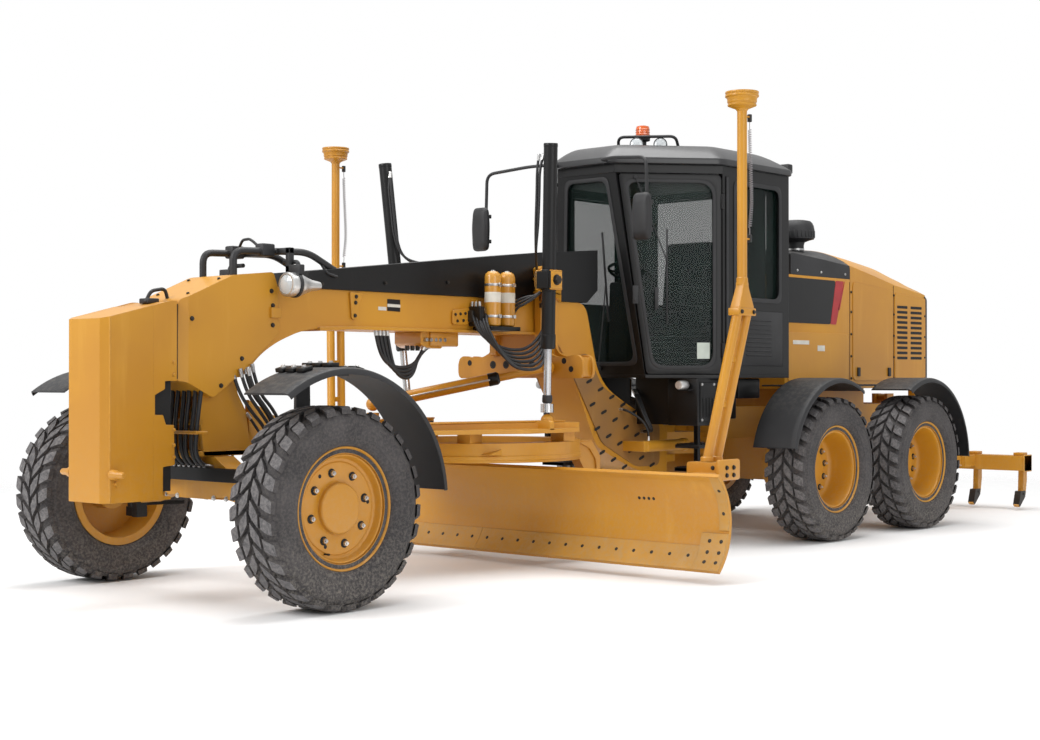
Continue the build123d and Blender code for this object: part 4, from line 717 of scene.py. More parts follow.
# Front end
def make_counterweight():
    """The counterweight: a chamfered block under a sloping top, side plates, tow pins, bolts and a latch."""
    shape = bmesh.new()
    chamfer = 0.045
    plan = [
        (-0.9, -0.2 + chamfer), (-0.9, 0.2 - chamfer), (-0.9 + chamfer, 0.199), (-0.565, 0.199), (-0.565, -0.199),
        (-0.9 + chamfer, -0.199),
    ]
    add_floor_plate(shape, plan, (0.61, 1.82))
    slope = Vector((1.785 - 1.67, 0, 0.46)).normalized()
    cut = bmesh.ops.bisect_plane(shape, geom=shape.verts[:] + shape.edges[:] + shape.faces[:], dist=1e-5,
                                 plane_co=point(-0.9, 0, 1.668), plane_no=slope, clear_outer=True)
    bmesh.ops.holes_fill(shape, edges=[e for e in cut["geom_cut"] if isinstance(e, bmesh.types.BMEdge)], sides=0)
    side = [
        (-0.86, 0.612), (-0.86, 1.676), (-0.44, 1.782), (-0.397, 1.782), (-0.397, 1.309), (-0.482, 1.309),
        (-0.482, 1.262), (-0.553, 1.227), (-0.553, 1.11), (-0.496, 1.11), (-0.475, 1.05), (-0.418, 1.05),
        (-0.412, 0.813), (-0.496, 0.805), (-0.496, 0.635), (-0.44, 0.63), (-0.44, 0.612),
    ]
    for low, high in ((0.182, 0.2), (-0.2, -0.182)):
        add_side_plate(shape, eased(side, 0.006, 2), (low, high), bevel=0.003)
    add_block(shape, (-0.45, -0.395), (-0.178, 0.178), (1.35, 1.775))
    top = [(-0.57, 1.745), (-0.44, 1.777), (-0.4, 1.777), (-0.4, 1.755), (-0.57, 1.722)]
    add_side_plate(shape, top, (-0.184, 0.184))
    add_block(shape, (-0.88, -0.45), (-0.16, 0.16), (0.612, 0.66))
    finish_piece("counterweight_shell", shape, "front_frame", yellow_paint, smooth=0.45, slot="yellow_paint",
                 replaces=["counterweight"])
    # Dark blocks in the recess between the side plates and behind the top block: painted shade
    shape = bmesh.new()
    add_block(shape, (-0.56, -0.42), (-0.17, 0.17), (0.66, 1.34), 0)
    add_block(shape, (-0.3965, -0.384), (-0.19, 0.19), (1.32, 1.765), 0)
    finish_piece("counterweight_recess_shade", shape, "front_frame", dark_parts_and_painted_shade)
    shape = bmesh.new()
    for side in (1, -1):
        add_lathe(shape, [(0, 0), (0.03, 0), (0.03, 0.03), (0.021, 0.05), (0.019, 0.1), (0.013, 0.112), (0, 0.114)],
                  sideways(-0.845, side * 0.199, 0.775), 24)
        add_lathe(shape, [(0, 0), (0.016, 0), (0.016, 0.02), (0, 0.02)], sideways(-0.82, side * 0.2, 0.72), 20)
        for z in (1.42, 1.345, 1.02, 0.93, 0.86):
            add_bolt(shape, sideways(-0.42, side * 0.2, z), 0.010)
    finish_piece("counterweight_pins", shape, "front_frame", yellow_paint)
    shape = bmesh.new()
    add_tube(shape, route((-0.34, 0.03, 1.80), (-0.36, 0.03, 1.862), (-0.46, 0.03, 1.845), (-0.5, 0.03, 1.775)),
             0.011, 0.03)
    add_block(shape, (-0.5, -0.42), (-0.035, 0.06), (1.768, 1.80), 0.006)
    finish_piece("counterweight_latch", shape, "front_frame", black_plastic)


def make_nose():
    """The yellow cover over the frame's nose, folded at its front, with its bolts and clips."""
    outline = [
        (-0.376, 1.79), (0.011, 1.954), (0.324, 1.987), (0.36, 1.895), (0.372, 1.607), (0.244, 1.5), (0.096, 1.375),
        (-0.14, 1.205), (-0.335, 1.303), (-0.39, 1.31),
    ]
    shape = bmesh.new()
    add_side_plate(shape, eased(outline, 0.025, 4), (-0.215, 0.215), bevel=0.01)
    fold = point(-0.325, 0, 0)
    bmesh.ops.bisect_plane(shape, geom=shape.verts[:] + shape.edges[:] + shape.faces[:], dist=1e-5,
                           plane_co=fold, plane_no=(1, 0, 0))
    for vert in shape.verts:
        if vert.co.x > fold.x + 1e-4:
            vert.co.y *= 1 - 0.16 * min(1.0, (vert.co.x - fold.x) / 0.06)
    finish_piece("nose_cover", shape, "front_frame", yellow_paint, smooth=0.3, slot="yellow_paint",
                 replaces=["nose_housing"])
    bolts = bmesh.new()
    for side in (1, -1):
        add_side_bolts(bolts, side * 0.215, ((0.307, 1.867), (0.318, 1.777), (0.335, 1.73), (0.317, 1.655),
                                             (0.075, 1.445), (-0.084, 1.28), (-0.30, 1.68)), 0.012)
    for back, z in ((-0.28, 1.832), (-0.05, 1.93)):
        for y in (-0.15, 0.15):
            add_bolt(bolts, along(point(back, y, z), (0.38, 0, 1)), 0.009)
    finish_piece("nose_bolts", bolts, "front_frame", dark_steel)
    shape = bmesh.new()
    for side in (1, -1):
        add_floor_plate(shape, eased([(0.295, side * 0.2), (0.295, side * 0.235), (0.38, side * 0.235),
                                      (0.38, side * 0.18)], 0.01, 3),
                        (1.70, 1.765))
    finish_piece("nose_clips", shape, "front_frame", yellow_paint)


def make_main_frame():
    """The frame: gooseneck, beam with its flange, the drop to the hitch, tread plates, brackets and valve block."""
    outline = [
        (-0.39, 1.33), (-0.39, 1.705), (0, 1.895), (0.36, 1.899), (3.43, 1.899), (3.6, 1.29), (4.02, 1.08),
        (4.475, 0.93), (4.475, 0.562), (4.09, 0.577), (3.57, 0.79), (3.49, 0.93), (3.25, 1.4), (3.05, 1.657),
        (0.96, 1.657), (0.7, 1.642), (0.56, 1.62), (0.381, 1.552), (0.255, 1.478), (0.1, 1.33),
    ]
    radii = [0.02, 0.02, 0.1, 0.05, 0.1, 0.2, 0.25, 0.02, 0.02, 0.25, 0.2, 0.25, 0.3, 0.2, 0.2, 0.2, 0.2, 0.15, 0.12,
             0.03]
    shape = bmesh.new()
    add_side_plate(shape, eased(outline, radii, 6), (-BEAM_Y, BEAM_Y), bevel=0.006)
    # Bottom flange of the beam, then the tread plates and what is welded on each side
    flange = [(0.72, 1.652), (0.98, 1.664), (3.04, 1.664), (3.1, 1.62), (3.08, 1.60), (3.02, 1.644), (0.98, 1.644),
              (0.72, 1.628)]
    add_side_plate(shape, flange, (-0.2, 0.2), bevel=0.003)
    tread = bmesh.new()
    for side in (1, -1):
        plate = eased([(3.2, 1.45), (3.44, 1.52), (3.62, 1.262), (4.0, 1.075), (4.36, 0.96), (4.36, 0.62),
                       (4.06, 0.62), (3.62, 0.82), (3.54, 0.94)], 0.06)
        add_side_plate(tread, plate, (side * 0.179, side * 0.192), bevel=0.003)
        cheek = eased([(0.21, 0.88), (0.47, 0.92), (0.47, 1.06), (0.21, 1.19)], [0, 0.06, 0.06, 0])
        add_side_plate(shape, cheek, (side * 0.0755, side * 0.115), bevel=0.004)
        add_block(shape, (3.88, 3.95), (side * 0.18, side * 0.4), (0.75, 0.83))
        add_rod(shape, point(3.93, side * 0.36, 0.79), point(4.48, side * 0.36, 0.79), 0.045, 32)
        add_lathe(shape, [(0.0185, 0), (0.051, 0), (0.052, 0.004), (0.052, 0.05), (0.046, 0.054)],
                  along(point(4.425, side * 0.36, 0.79), (-1, 0, 0)), 32)
    # Bolster: two side walls with a window, stiffeners and the step that carries the axle
    for side in (1, -1):
        wall = eased([(0.2, 0.852), (0.16, 1.12), (0.09, 1.24), (0.09, 1.34), (-0.2, 1.34), (-0.2, 1.15),
                      (-0.16, 0.852)], 0.02, 3)
        add_side_plate(shape, wall, (side * 0.12, side * 0.15), bevel=0.004)
    add_block(shape, (0.13, 0.155), (-0.13, 0.13), (0.86, 1.15))
    add_block(shape, (-0.06, -0.03), (-0.13, 0.13), (0.86, 1.34))
    add_block(shape, (-0.2, 0.2), (-0.15, 0.15), (0.852, 0.885))
    add_rod(shape, point(-0.185, -0.15, 1.06), point(-0.185, 0.15, 1.06), 0.018, 20)
    for z in ((0.64, 0.7), (0.88, 0.94)):
        ear = eased([(4.47, -0.13), (4.47, 0.13), (4.71, 0.13), (4.71, -0.13)], [0, 0, 0.1, 0.1])
        add_floor_plate(shape, ear, z, bevel=0.005)
    add_rod(shape, point(4.6, 0, 0.63), point(4.6, 0, 0.95), 0.045, 32)
    finish_piece("gooseneck_frame", shape, "front_frame", yellow_paint, smooth=0.35, slot="yellow_paint",
                 replaces=["main_frame"])
    finish_piece("frame_tread_plates", tread, "front_frame", worn_yellow)

    # Dark ovals on the tread plates stand for their slots: painted shade
    shape = bmesh.new()
    for side in (1, -1):
        for row, (start, count) in enumerate(((3.46, 5), (3.5, 6), (3.56, 6), (3.62, 5))):
            for k in range(count):
                back = start + 0.14 * k
                z = 1.30 - 0.16 * row - (back - 3.46) * 0.44
                slot_place = sideways(back, side * 0.1925, z) @ Matrix.Rotation(0.35 * side, 4, "Z")
                oval = [(0.024 * math.cos(a) + (0.014 if math.cos(a) > 0 else -0.014), 0.012 * math.sin(a))
                        for a in (2 * math.pi * n / 16 + 0.1 for n in range(16))]
                add_prism(shape, oval, slot_place, 0.001)
    finish_piece("frame_tread_slot_shade", shape, "front_frame", dark_parts_and_painted_shade)

    shape = bmesh.new()
    for side in (1, -1):
        y = side * BEAM_Y
        bracket = eased([(0.985, 1.888), (1.095, 1.885), (1.095, 1.862), (1.06, 1.80), (1.055, 1.715), (1.02, 1.705),
                         (1.0, 1.72), (0.995, 1.8)], 0.012, 3)
        add_side_plate(shape, bracket, (y, y + side * 0.014), bevel=0.003)
        tab = eased([(1.95, 1.70), (1.95, 1.80), (2.13, 1.82), (2.16, 1.75), (2.1, 1.70)], 0.02, 3)
        add_side_plate(shape, tab, (y, y + side * 0.014), bevel=0.003)
    finish_piece("beam_brackets", shape, "front_frame", yellow_paint)
    shape = bmesh.new()
    for side in (1, -1):
        y = side * 0.194
        add_side_bolts(shape, y, ((1.04, 1.86), (1.035, 1.82), (1.03, 1.735)), 0.011)
        add_side_bolts(shape, y, ((1.98, 1.77), (2.03, 1.775), (2.08, 1.78), (2.0, 1.725), (2.06, 1.73)), 0.009)
        add_side_bolts(shape, side * 0.2, ((0.74, 1.93), (1.3, 1.96), (1.9, 1.99), (2.5, 2.03)), 0.010)
    finish_piece("beam_bolts", shape, "front_frame", dark_steel)
    shape = bmesh.new()
    add_side_plate(shape, [(1.334, 1.776), (1.334, 1.856), (1.454, 1.854), (1.454, 1.773)], (0.18, 0.1825))
    add_side_plate(shape, [(1.25, 1.778), (1.25, 1.802), (1.325, 1.801), (1.325, 1.777)], (0.18, 0.1825), 1)
    add_side_plate(shape, [(1.334, 1.803), (1.334, 1.823), (1.454, 1.821), (1.454, 1.801)], (0.1825, 0.1832), 1)
    finish_piece("blank_plates", shape, "front_frame", black_paint, white_band)
    shape = bmesh.new()
    block_outline = eased([(1.7, 1.645), (1.7, 1.56), (1.76, 1.535), (1.9, 1.53), (1.93, 1.56), (1.96, 1.645)], 0.01,
                          2)
    add_side_plate(shape, block_outline, (-0.13, 0.13), bevel=0.006)
    finish_piece("centre_valve_block", shape, "front_frame", gold_paint)
    shape = bmesh.new()
    for k in range(5):
        add_rod(shape, point(1.74 + 0.045 * k, 0.13, 1.59), point(1.74 + 0.045 * k, 0.155, 1.59), 0.014, 16)
    add_rod(shape, point(1.93, 0.09, 1.57), point(2.05, 0.09, 1.57), 0.016, 16)
    finish_piece("centre_valve_fittings", shape, "front_frame", bright_steel)


def make_headlamps():
    """Round silver lamp bowls with their lenses and cone brackets, each side of the cover's nose."""
    for name, side in (("left", 1), ("right", -1)):
        place = forwards(0.40, side * 0.34, 1.905)
        shape = bmesh.new()
        add_lathe(shape, [(0, -0.19), (0.026, -0.19), (0.03, -0.17), (0.036, -0.12), (0.062, -0.045), (0.072, -0.02),
                          (0.076, 0.04), (0.076, 0.075), (0.070, 0.082), (0.062, 0.082), (0.058, 0.06), (0.032, 0.03),
                          (0, 0.022)],
                  place, 40)
        finish_piece(f"headlamp_bowl_{name}", shape, "front_frame", bright_steel)
        shape = bmesh.new()
        add_lathe(shape, [(0.0755, 0.0), (0.081, 0.002), (0.081, 0.022), (0.0755, 0.024)], place, 40)
        add_tube(shape, route((0.42, side * 0.2, 2.05), (0.42, side * 0.34, 2.05), (0.42, side * 0.34, 1.96)), 0.014,
                 0.03)
        finish_piece(f"headlamp_hoop_{name}", shape, "front_frame", black_plastic)
        shape = bmesh.new()
        add_lathe(shape, [(0.062, 0.072), (0.06, 0.078), (0.04, 0.088), (0.0, 0.092)], place, 40)
        finish_piece(f"headlamp_lens_{name}", shape, "front_frame", lens)


# Columns: distance behind the front axle, y
ROOF_LAMPS = ((4.03, 0.215), (4.155, 0.355))


def roof_lamp_place(back, y):
    return along(point(back, y, 3.17), (1, 0.7, 0.1))


def make_guard():
    """Tube loops over the beam's nose with the lamp bar; beacon, roof and rear lamps; mirrors on their arms."""
    shape = bmesh.new()
    for side in (1, -1):
        add_tube(shape, route((0.06, side * 0.15, 1.95), (0.06, side * 0.15, 2.11), (0.64, side * 0.17, 2.13),
                              (0.87, side * 0.17, 2.025)), 0.022, 0.08, 16)
        add_block(shape, (0.26, 0.36), (side * 0.11, side * 0.19), (2.085, 2.165), 0.01)
        add_block(shape, (0.38, 0.42), (side * 0.26, side * 0.3), (1.96, 2.14), 0.006)
        add_block(shape, (0.38, 0.42), (side * 0.26, side * 0.4), (1.965, 2.03), 0.006)
    add_block(shape, (0.38, 0.42), (-0.3, 0.3), (2.1, 2.14), 0.006)
    add_tube(shape, route((0.3, 0.1, 2.15), (0.28, 0.04, 2.2), (0.3, -0.06, 2.2), (0.32, -0.12, 2.15)), 0.009, 0.03)
    add_tube(shape, route((0.75, 0.15, 2.09), (0.78, 0.2, 2.0), (0.86, 0.21, 1.98)), 0.009, 0.03)
    # Beacon's base and the roof lamps' bar
    beacon = Matrix.Translation(point(4.14, 0.19, 3.15))
    add_lathe(shape, [(0, 0), (0.05, 0), (0.046, 0.012), (0.03, 0.02), (0.03, 0.06), (0.058, 0.068), (0.06, 0.09),
                      (0, 0.09)],
              beacon, 32)
    for back, y in ROOF_LAMPS:
        add_block(shape, (back - 0.012, back + 0.012), (y - 0.012, y + 0.012), (3.08, 3.16), 0.003)
        add_lathe(shape, [(0, -0.05), (0.03, -0.05), (0.05, -0.03), (0.055, 0.0), (0.055, 0.03), (0.049, 0.034)],
                  roof_lamp_place(back, y), 28)
    add_tube(shape, route((4.02, 0.04, 3.10), (3.94, 0.10, 3.235), (4.20, 0.47, 3.235), (4.32, 0.43, 3.10)),
             0.012, 0.05, 12)
    for y in (-0.7, 0.7):
        add_tube(shape, route((5.26, y, 3.0), (5.38, y, 3.0), (5.42, y, 3.06)), 0.013, 0.04)
        add_block(shape, (5.39, 5.46), (y - 0.06, y + 0.06), (3.03, 3.11), 0.012)
    for side in (1, -1):
        add_tube(shape, route((3.59, side * 0.25, 3.005), (3.54, side * 0.25, 3.005), (3.47, side * 0.42, 3.0),
                              (3.38, side * 0.8, 2.96), (3.38, side * 0.81, 2.66)), 0.013, 0.07)
        for z in (2.62, 2.42):
            add_block(shape, (3.37, 3.39), (side * 0.76, side * 0.86), (z - 0.015, z + 0.015), 0.003)
    finish_piece("guard_and_lamp_arms", shape, "front_frame", black_plastic, slot="black_plastic",
                 replaces=["lamps_and_mirrors"])
    for name, side in (("left", 1), ("right", -1)):
        shape = bmesh.new()
        outline = eased([(-0.075, 0.0), (-0.085, 0.2), (-0.07, 0.35), (0.07, 0.35), (0.085, 0.2), (0.075, 0.0)],
                        [0.04, 0.05, 0.04, 0.04, 0.05, 0.04], 6)
        place = Matrix.Translation(point(3.335, side * 0.81, 2.34)) @ Matrix(((0, 0, 1, 0), (1, 0, 0, 0),
                                                                              (0, 1, 0, 0), (0, 0, 0, 1)))
        rows = []
        for depth, shrink in ((0.0, 0.97), (0.012, 1.0), (0.03, 0.99), (0.045, 0.86), (0.052, 0.6)):
            rows.append(add_ring(shape, [
                place @ Vector((x * shrink, (z - 0.175) * shrink + 0.175, depth)) for x, z in outline
            ]))
        skin(shape, rows)
        finish_piece(f"mirror_shell_{name}", shape, "front_frame", black_plastic, smooth=0.9)
        shape = bmesh.new()
        skin(shape, [
            add_ring(shape, [place @ Vector((x * 0.88, (z - 0.175) * 0.92 + 0.175, depth)) for x, z in outline])
            for depth in (-0.0015, 0.0)
        ])
        finish_piece(f"mirror_face_{name}", shape, "front_frame", chrome)
    shape = bmesh.new()
    add_lathe(shape, [(0.054, 0.09), (0.056, 0.1), (0.055, 0.165), (0.05, 0.182), (0.03, 0.189), (0, 0.19)], beacon,
              40)
    for z in (0.115, 0.135, 0.155):
        add_lathe(shape, [(0.0555, z - 0.004), (0.0585, z), (0.0555, z + 0.004)], beacon, 40)
    finish_piece("beacon_lens", shape, "front_frame", amber)
    shape = bmesh.new()
    for back, y in ROOF_LAMPS:
        add_lathe(shape, [(0.049, 0.03), (0.04, 0.036), (0, 0.04)], roof_lamp_place(back, y), 28)
    finish_piece("roof_lamp_lenses", shape, "front_frame", lens)


make_counterweight()
make_nose()
make_main_frame()
make_headlamps()
make_guard()


# Saddle, lift cylinders and accumulators
# Places as (back, y, z)
TRUNNION = (2.33, 0.754, 2.003)
LIFT_TOP = (2.27, 0.823, 2.94)
LIFT_EYE = (2.39, 0.686, 1.085)


def make_saddle():
    """The link bar with its row of holes, and the curved plates that carry the lift cylinders."""
    shape = bmesh.new()
    outline = []
    for side in (1, -1):
        lobe = [(0.60, 1.322), (0.622, 1.35), (0.622, 1.45), (0.59, 1.492), (0.52, 1.492), (0.47, 1.478),
                (0.36, 1.484), (0.28, 1.52), (0.26, 1.6), (0.255, 1.70), (0.196, 1.70), (0.196, 1.645), (0.0, 1.645)]
        outline += [(side * y, z) for y, z in (lobe if side > 0 else reversed(lobe[:-1]))]
    outline += [(-0.60, 1.322), (-0.3, 1.325), (0.3, 1.325)]
    flat = []
    for y, z in outline:
        if not flat or (abs(flat[-1][0] - y) + abs(flat[-1][1] - z)) > 1e-4:
            flat.append((y, z))
    for span in ((2.86, 2.885), (2.975, 3.0)):
        add_cross_plate(shape, eased(flat, 0.025, 3), span, bevel=0.004)
    add_block(shape, (2.88, 2.98), (-0.6, 0.6), (1.335, 1.475))
    for side in (1, -1):
        ys = (side * 0.195, side * 0.255)
        upright = eased([(2.82, 1.49), (2.82, 2.08), (2.79, 2.13), (2.86, 2.155), (3.02, 2.13), (3.02, 1.49)], 0.03,
                        4)
        add_side_plate(shape, upright, ys, bevel=0.005)
        t = TRUNNION
        for z in ((1.944, 1.962), (2.044, 2.062)):
            arm = [(2.80, side * 0.196), (t[0] + 0.07, side * 0.684), (t[0] - 0.07, side * 0.684), (3.0, side * 0.30),
                   (2.98, side * 0.196)]
            add_floor_plate(shape, arm, z, bevel=0.004)
        for start, end in (((2.83, 0.255), (2.40, 0.684)), ((3.0, 0.29), (2.27, 0.684))):
            a, b = point(start[0], side * start[1], 1.945), point(end[0], side * end[1], 1.945)
            way = (b - a).normalized()
            place = Matrix((way, Vector((0, 0, 1)), way.cross(Vector((0, 0, 1))))).transposed().to_4x4()
            place.translation = a
            web = [(0.0, -0.07), (0.12, -0.03), ((b - a).length, 0.0), ((b - a).length, 0.115), (0.12, 0.14),
                   (0.0, 0.19)]
            add_prism(shape, eased(web, 0.03, 3), place @ Matrix.Translation((0, 0, -0.009)), 0.018, 0, 0.003)
        for inner, outer in ((t[1] - 0.07, t[1] - 0.045), (t[1] + 0.052, t[1] + 0.07)):
            add_block(shape, (t[0] - 0.07, t[0] + 0.07), (side * inner, side * outer), (t[2] - 0.07, t[2] + 0.07),
                      0.012)
        add_rod(shape, point(t[0] + 0.06, side * (t[1] - 0.05), t[2]),
                point(t[0] + 0.06, side * (t[1] + 0.055), t[2]), 0.02)
    finish_piece("saddle_plates", shape, "front_frame", yellow_paint, smooth=0.4, slot="yellow_paint",
                 replaces=["saddle"])
    # Dark discs on both faces of the link bar stand for its holes: painted shade
    shape = bmesh.new()
    for y, z in ((-0.5, 1.44), (-0.258, 1.425), (-0.125, 1.425), (-0.004, 1.425), (0.135, 1.425), (0.258, 1.425),
                 (0.445, 1.45),
                 (0.512, 1.39)):
        for back, way in ((2.8595, 1), (3.0005, -1)):
            add_lathe(shape, [(0.022, 0), (0.022, 0.0006), (0, 0.0006)], along(point(back, y, z), (way, 0, 0)), 24)
    finish_piece("link_bar_hole_shade", shape, "front_frame", dark_parts_and_painted_shade)
    shape = bmesh.new()
    for y, z in ((-0.258, 1.425), (-0.125, 1.425), (-0.004, 1.425), (0.135, 1.425), (0.258, 1.425)):
        add_lathe(shape, [(0.0221, -0.002), (0.03, -0.002), (0.03, 0.0015), (0.0221, 0.0015)],
                  forwards(2.86, y, z), 24)
    for side in (1, -1):
        for y, z in ((0.235, 1.60), (0.225, 1.57)):
            add_bolt(shape, forwards(2.86, side * y, z), 0.012)
        add_side_bolts(shape, side * 0.2555, ((2.9, 1.62), (2.9, 1.72), (2.96, 1.62), (2.96, 1.72), (2.93, 1.55)),
                       0.012)
        add_bolt(shape, sideways(TRUNNION[0], side * (TRUNNION[1] + 0.07), TRUNNION[2]), 0.03)
    finish_piece("saddle_bolts", shape, "front_frame", dark_steel)


def make_lift_cylinders():
    """Collars and glands on the lift barrels, and a boot at the foot of each rod."""
    for name, side in (("left", 1), ("right", -1)):
        top = point(LIFT_TOP[0], side * LIFT_TOP[1], LIFT_TOP[2])
        eye = point(LIFT_EYE[0], side * LIFT_EYE[1], LIFT_EYE[2])
        run = (eye - top).normalized()
        total = (eye - top).length
        place = along(top, run)
        shape = bmesh.new()
        end = total * 0.76
        add_lathe(shape, [(0.0475, 0.002), (0.0495, 0.008), (0.0495, 0.022), (0.0485, 0.026)], place, 36)
        add_lathe(shape, [(0.0482, end - 0.10), (0.0525, end - 0.098), (0.0525, end - 0.012), (0.046, end - 0.002),
                          (0.030, end), (0.0275, end)], place, 36)
        middle = total * 0.505
        add_lathe(shape, [(0.0482, middle - 0.075), (0.054, middle - 0.07), (0.054, middle + 0.07),
                          (0.0482, middle + 0.075)], place, 36)
        for turn in range(6):
            seat = place @ Matrix.Rotation(turn * math.pi / 3, 4, "Z") @ Matrix.Translation((0.0395, 0, end - 0.003))
            add_bolt(shape, seat, 0.006, washer=False)
        finish_piece(f"lift_glands_{name}", shape, "front_frame", black_paint)
        shape = bmesh.new()
        add_lathe(shape, [(0.0272, total - 0.124), (0.034, total - 0.12), (0.036, total - 0.10),
                          (0.036, total - 0.075),
                          (0.030, total - 0.066)], place, 32)
        finish_piece(f"lift_boots_{name}", shape, f"lift_rod_{name}", black_plastic)


def make_accumulators():
    """Gold bottles with domed caps, white bands, clamps and valves, on their shelf."""
    gold, bands, metal, black = bmesh.new(), bmesh.new(), bmesh.new(), bmesh.new()
    for side in (1, -1):
        for back in (2.25, 2.40):
            place = Matrix.Translation(point(back, side * 0.3, 0))
            add_lathe(gold, [(0.04, 1.69), (0.057, 1.70), (0.058, 1.72), (0.058, 2.04), (0.052, 2.062),
                             (0.034, 2.078), (0.0, 2.082)],
                      place, 40)
            add_lathe(bands, [(0.0582, 1.86), (0.0588, 1.862), (0.0588, 1.93), (0.0582, 1.932)], place, 40)
            add_lathe(metal, [(0.02, 2.074), (0.02, 2.086), (0.012, 2.0885), (0, 2.089)], place, 20)
            for z in (1.752, 1.975):
                add_lathe(metal, [(0.0582, z), (0.0602, z + 0.002), (0.0602, z + 0.016), (0.0582, z + 0.018)], place,
                          40)
                add_block(metal, (back - 0.012, back + 0.012), (side * 0.357, side * 0.378), (z - 0.003, z + 0.021),
                          0.002)
        add_block(black, (2.17, 2.48), (side * 0.18, side * 0.36), (1.66, 1.69), 0.004)
        add_block(black, (2.12, 2.17), (side * 0.185, side * 0.3), (1.69, 1.83), 0.008)
        add_block(black, (2.195, 2.455), (side * 0.185, side * 0.24), (1.69, 1.76), 0.006)
        for k in range(3):
            add_rod(metal, point(2.14, side * (0.205 + 0.035 * k), 1.83),
                    point(2.14, side * (0.205 + 0.035 * k), 1.862), 0.012, 14)
    add_block(gold, (1.78, 2.06), (-0.15, 0.15), (1.545, 1.6547), 0.012)
    finish_piece("accumulator_bottles", gold, "front_frame", gold_paint, slot="yellow_paint",
                 replaces=["accumulators"])
    finish_piece("accumulator_bands", bands, "front_frame", white_band)
    finish_piece("accumulator_clamps", metal, "front_frame", bright_steel)
    finish_piece("accumulator_shelf", black, "front_frame", black_paint)


# Blade group
def make_drawbar_trim():
    """Flanges on the drawbar's beams, its rear plates, and the bolts of the shoes and beams."""
    shape = bmesh.new()
    for side in (1, -1):
        start, end = point(0.62, side * 0.13, 1.02), point(2.56, side * 0.66, 1.02)
        way = (end - start).normalized()
        across = Vector((-way.y, way.x, 0))
        length = (end - start).length
        place = Matrix((way, across, Vector((0, 0, 1)))).transposed().to_4x4()
        place.translation = start
        add_box(shape, (0, -0.065, -0.004), (length, 0.065, 0.008), place, 0.003)
        add_cross_plate(shape, eased([(side * 0.60, 0.947), (side * 0.60, 1.03), (side * 0.79, 1.03),
                                      (side * 0.79, 0.947)], 0.02, 3),
                        (2.30, 2.345), bevel=0.003)
    finish_piece("drawbar_flanges", shape, "drawbar", yellow_paint)
    shape = bmesh.new()
    for angle in (40, 105, 255, 320):
        turn = math.radians(angle)
        for radius in (0.66, 0.74):
            for spread in (-0.04, 0.04):
                a = turn + spread / radius
                seat = point(CIRCLE_BACK - radius * math.cos(a), radius * math.sin(a), 0.975)
                add_bolt(shape, Matrix.Translation(seat), 0.014)
    for side in (1, -1):
        for back in (0.75, 1.15, 1.55):
            add_bolt(shape, Matrix.Translation(point(back, side * (0.13 + (back - 0.62) * 0.273), 1.028)), 0.012)
    finish_piece("drawbar_bolts", shape, "drawbar", dark_steel)


def make_circle_trim():
    """Gear teeth inside the ring, a wear band outside it, and stiffeners and pins on the arms."""
    shape = bmesh.new()
    place = Matrix.Translation(point(CIRCLE_BACK, 0, 0))
    add_lathe(shape, [(0.7652, 0.76), (0.772, 0.765), (0.772, 0.79), (0.7652, 0.795)], place, 96)
    for side in (1, -1):
        for y in (0.64, 0.556):
            rib = eased([(2.78, 0.865), (2.93, 0.865), (3.02, 0.765), (3.03, 0.62), (2.99, 0.62), (2.97, 0.74),
                         (2.9, 0.82)], 0.01, 2)
            add_side_plate(shape, rib, (side * y, side * (y + 0.012)), bevel=0.002)
        add_block(shape, (2.06, 2.16), (side * 0.545, side * 0.655), (0.81, 0.872), 0.006)
    finish_piece("circle_wear_band", shape, "circle", yellow_paint)
    shape = bmesh.new()
    teeth = 64
    for k in range(teeth):
        turn = place @ Matrix.Rotation(2 * math.pi * (k + 0.5) / teeth, 4, "Z")
        tooth = [(0.636, -0.02), (0.612, -0.009), (0.612, 0.009), (0.636, 0.02)]
        add_prism(shape, tooth, turn @ Matrix.Translation((0, 0, 0.755)), 0.06)
    finish_piece("circle_teeth", shape, "circle", dark_steel)
    shape = bmesh.new()
    for side in (1, -1):
        for back, z in ((2.83, 0.28), (2.88, 0.26)):
            add_lathe(shape, [(0.035, 0), (0.035, 0.008), (0.03, 0.012), (0, 0.012)], sideways(back, side * 0.64, z),
                      24)
        add_side_bolts(shape, side * 0.6405, ((2.2, 0.85), (2.35, 0.855), (2.5, 0.855), (2.65, 0.855)), 0.013)
    finish_piece("arm_pins", shape, "circle", dark_steel)


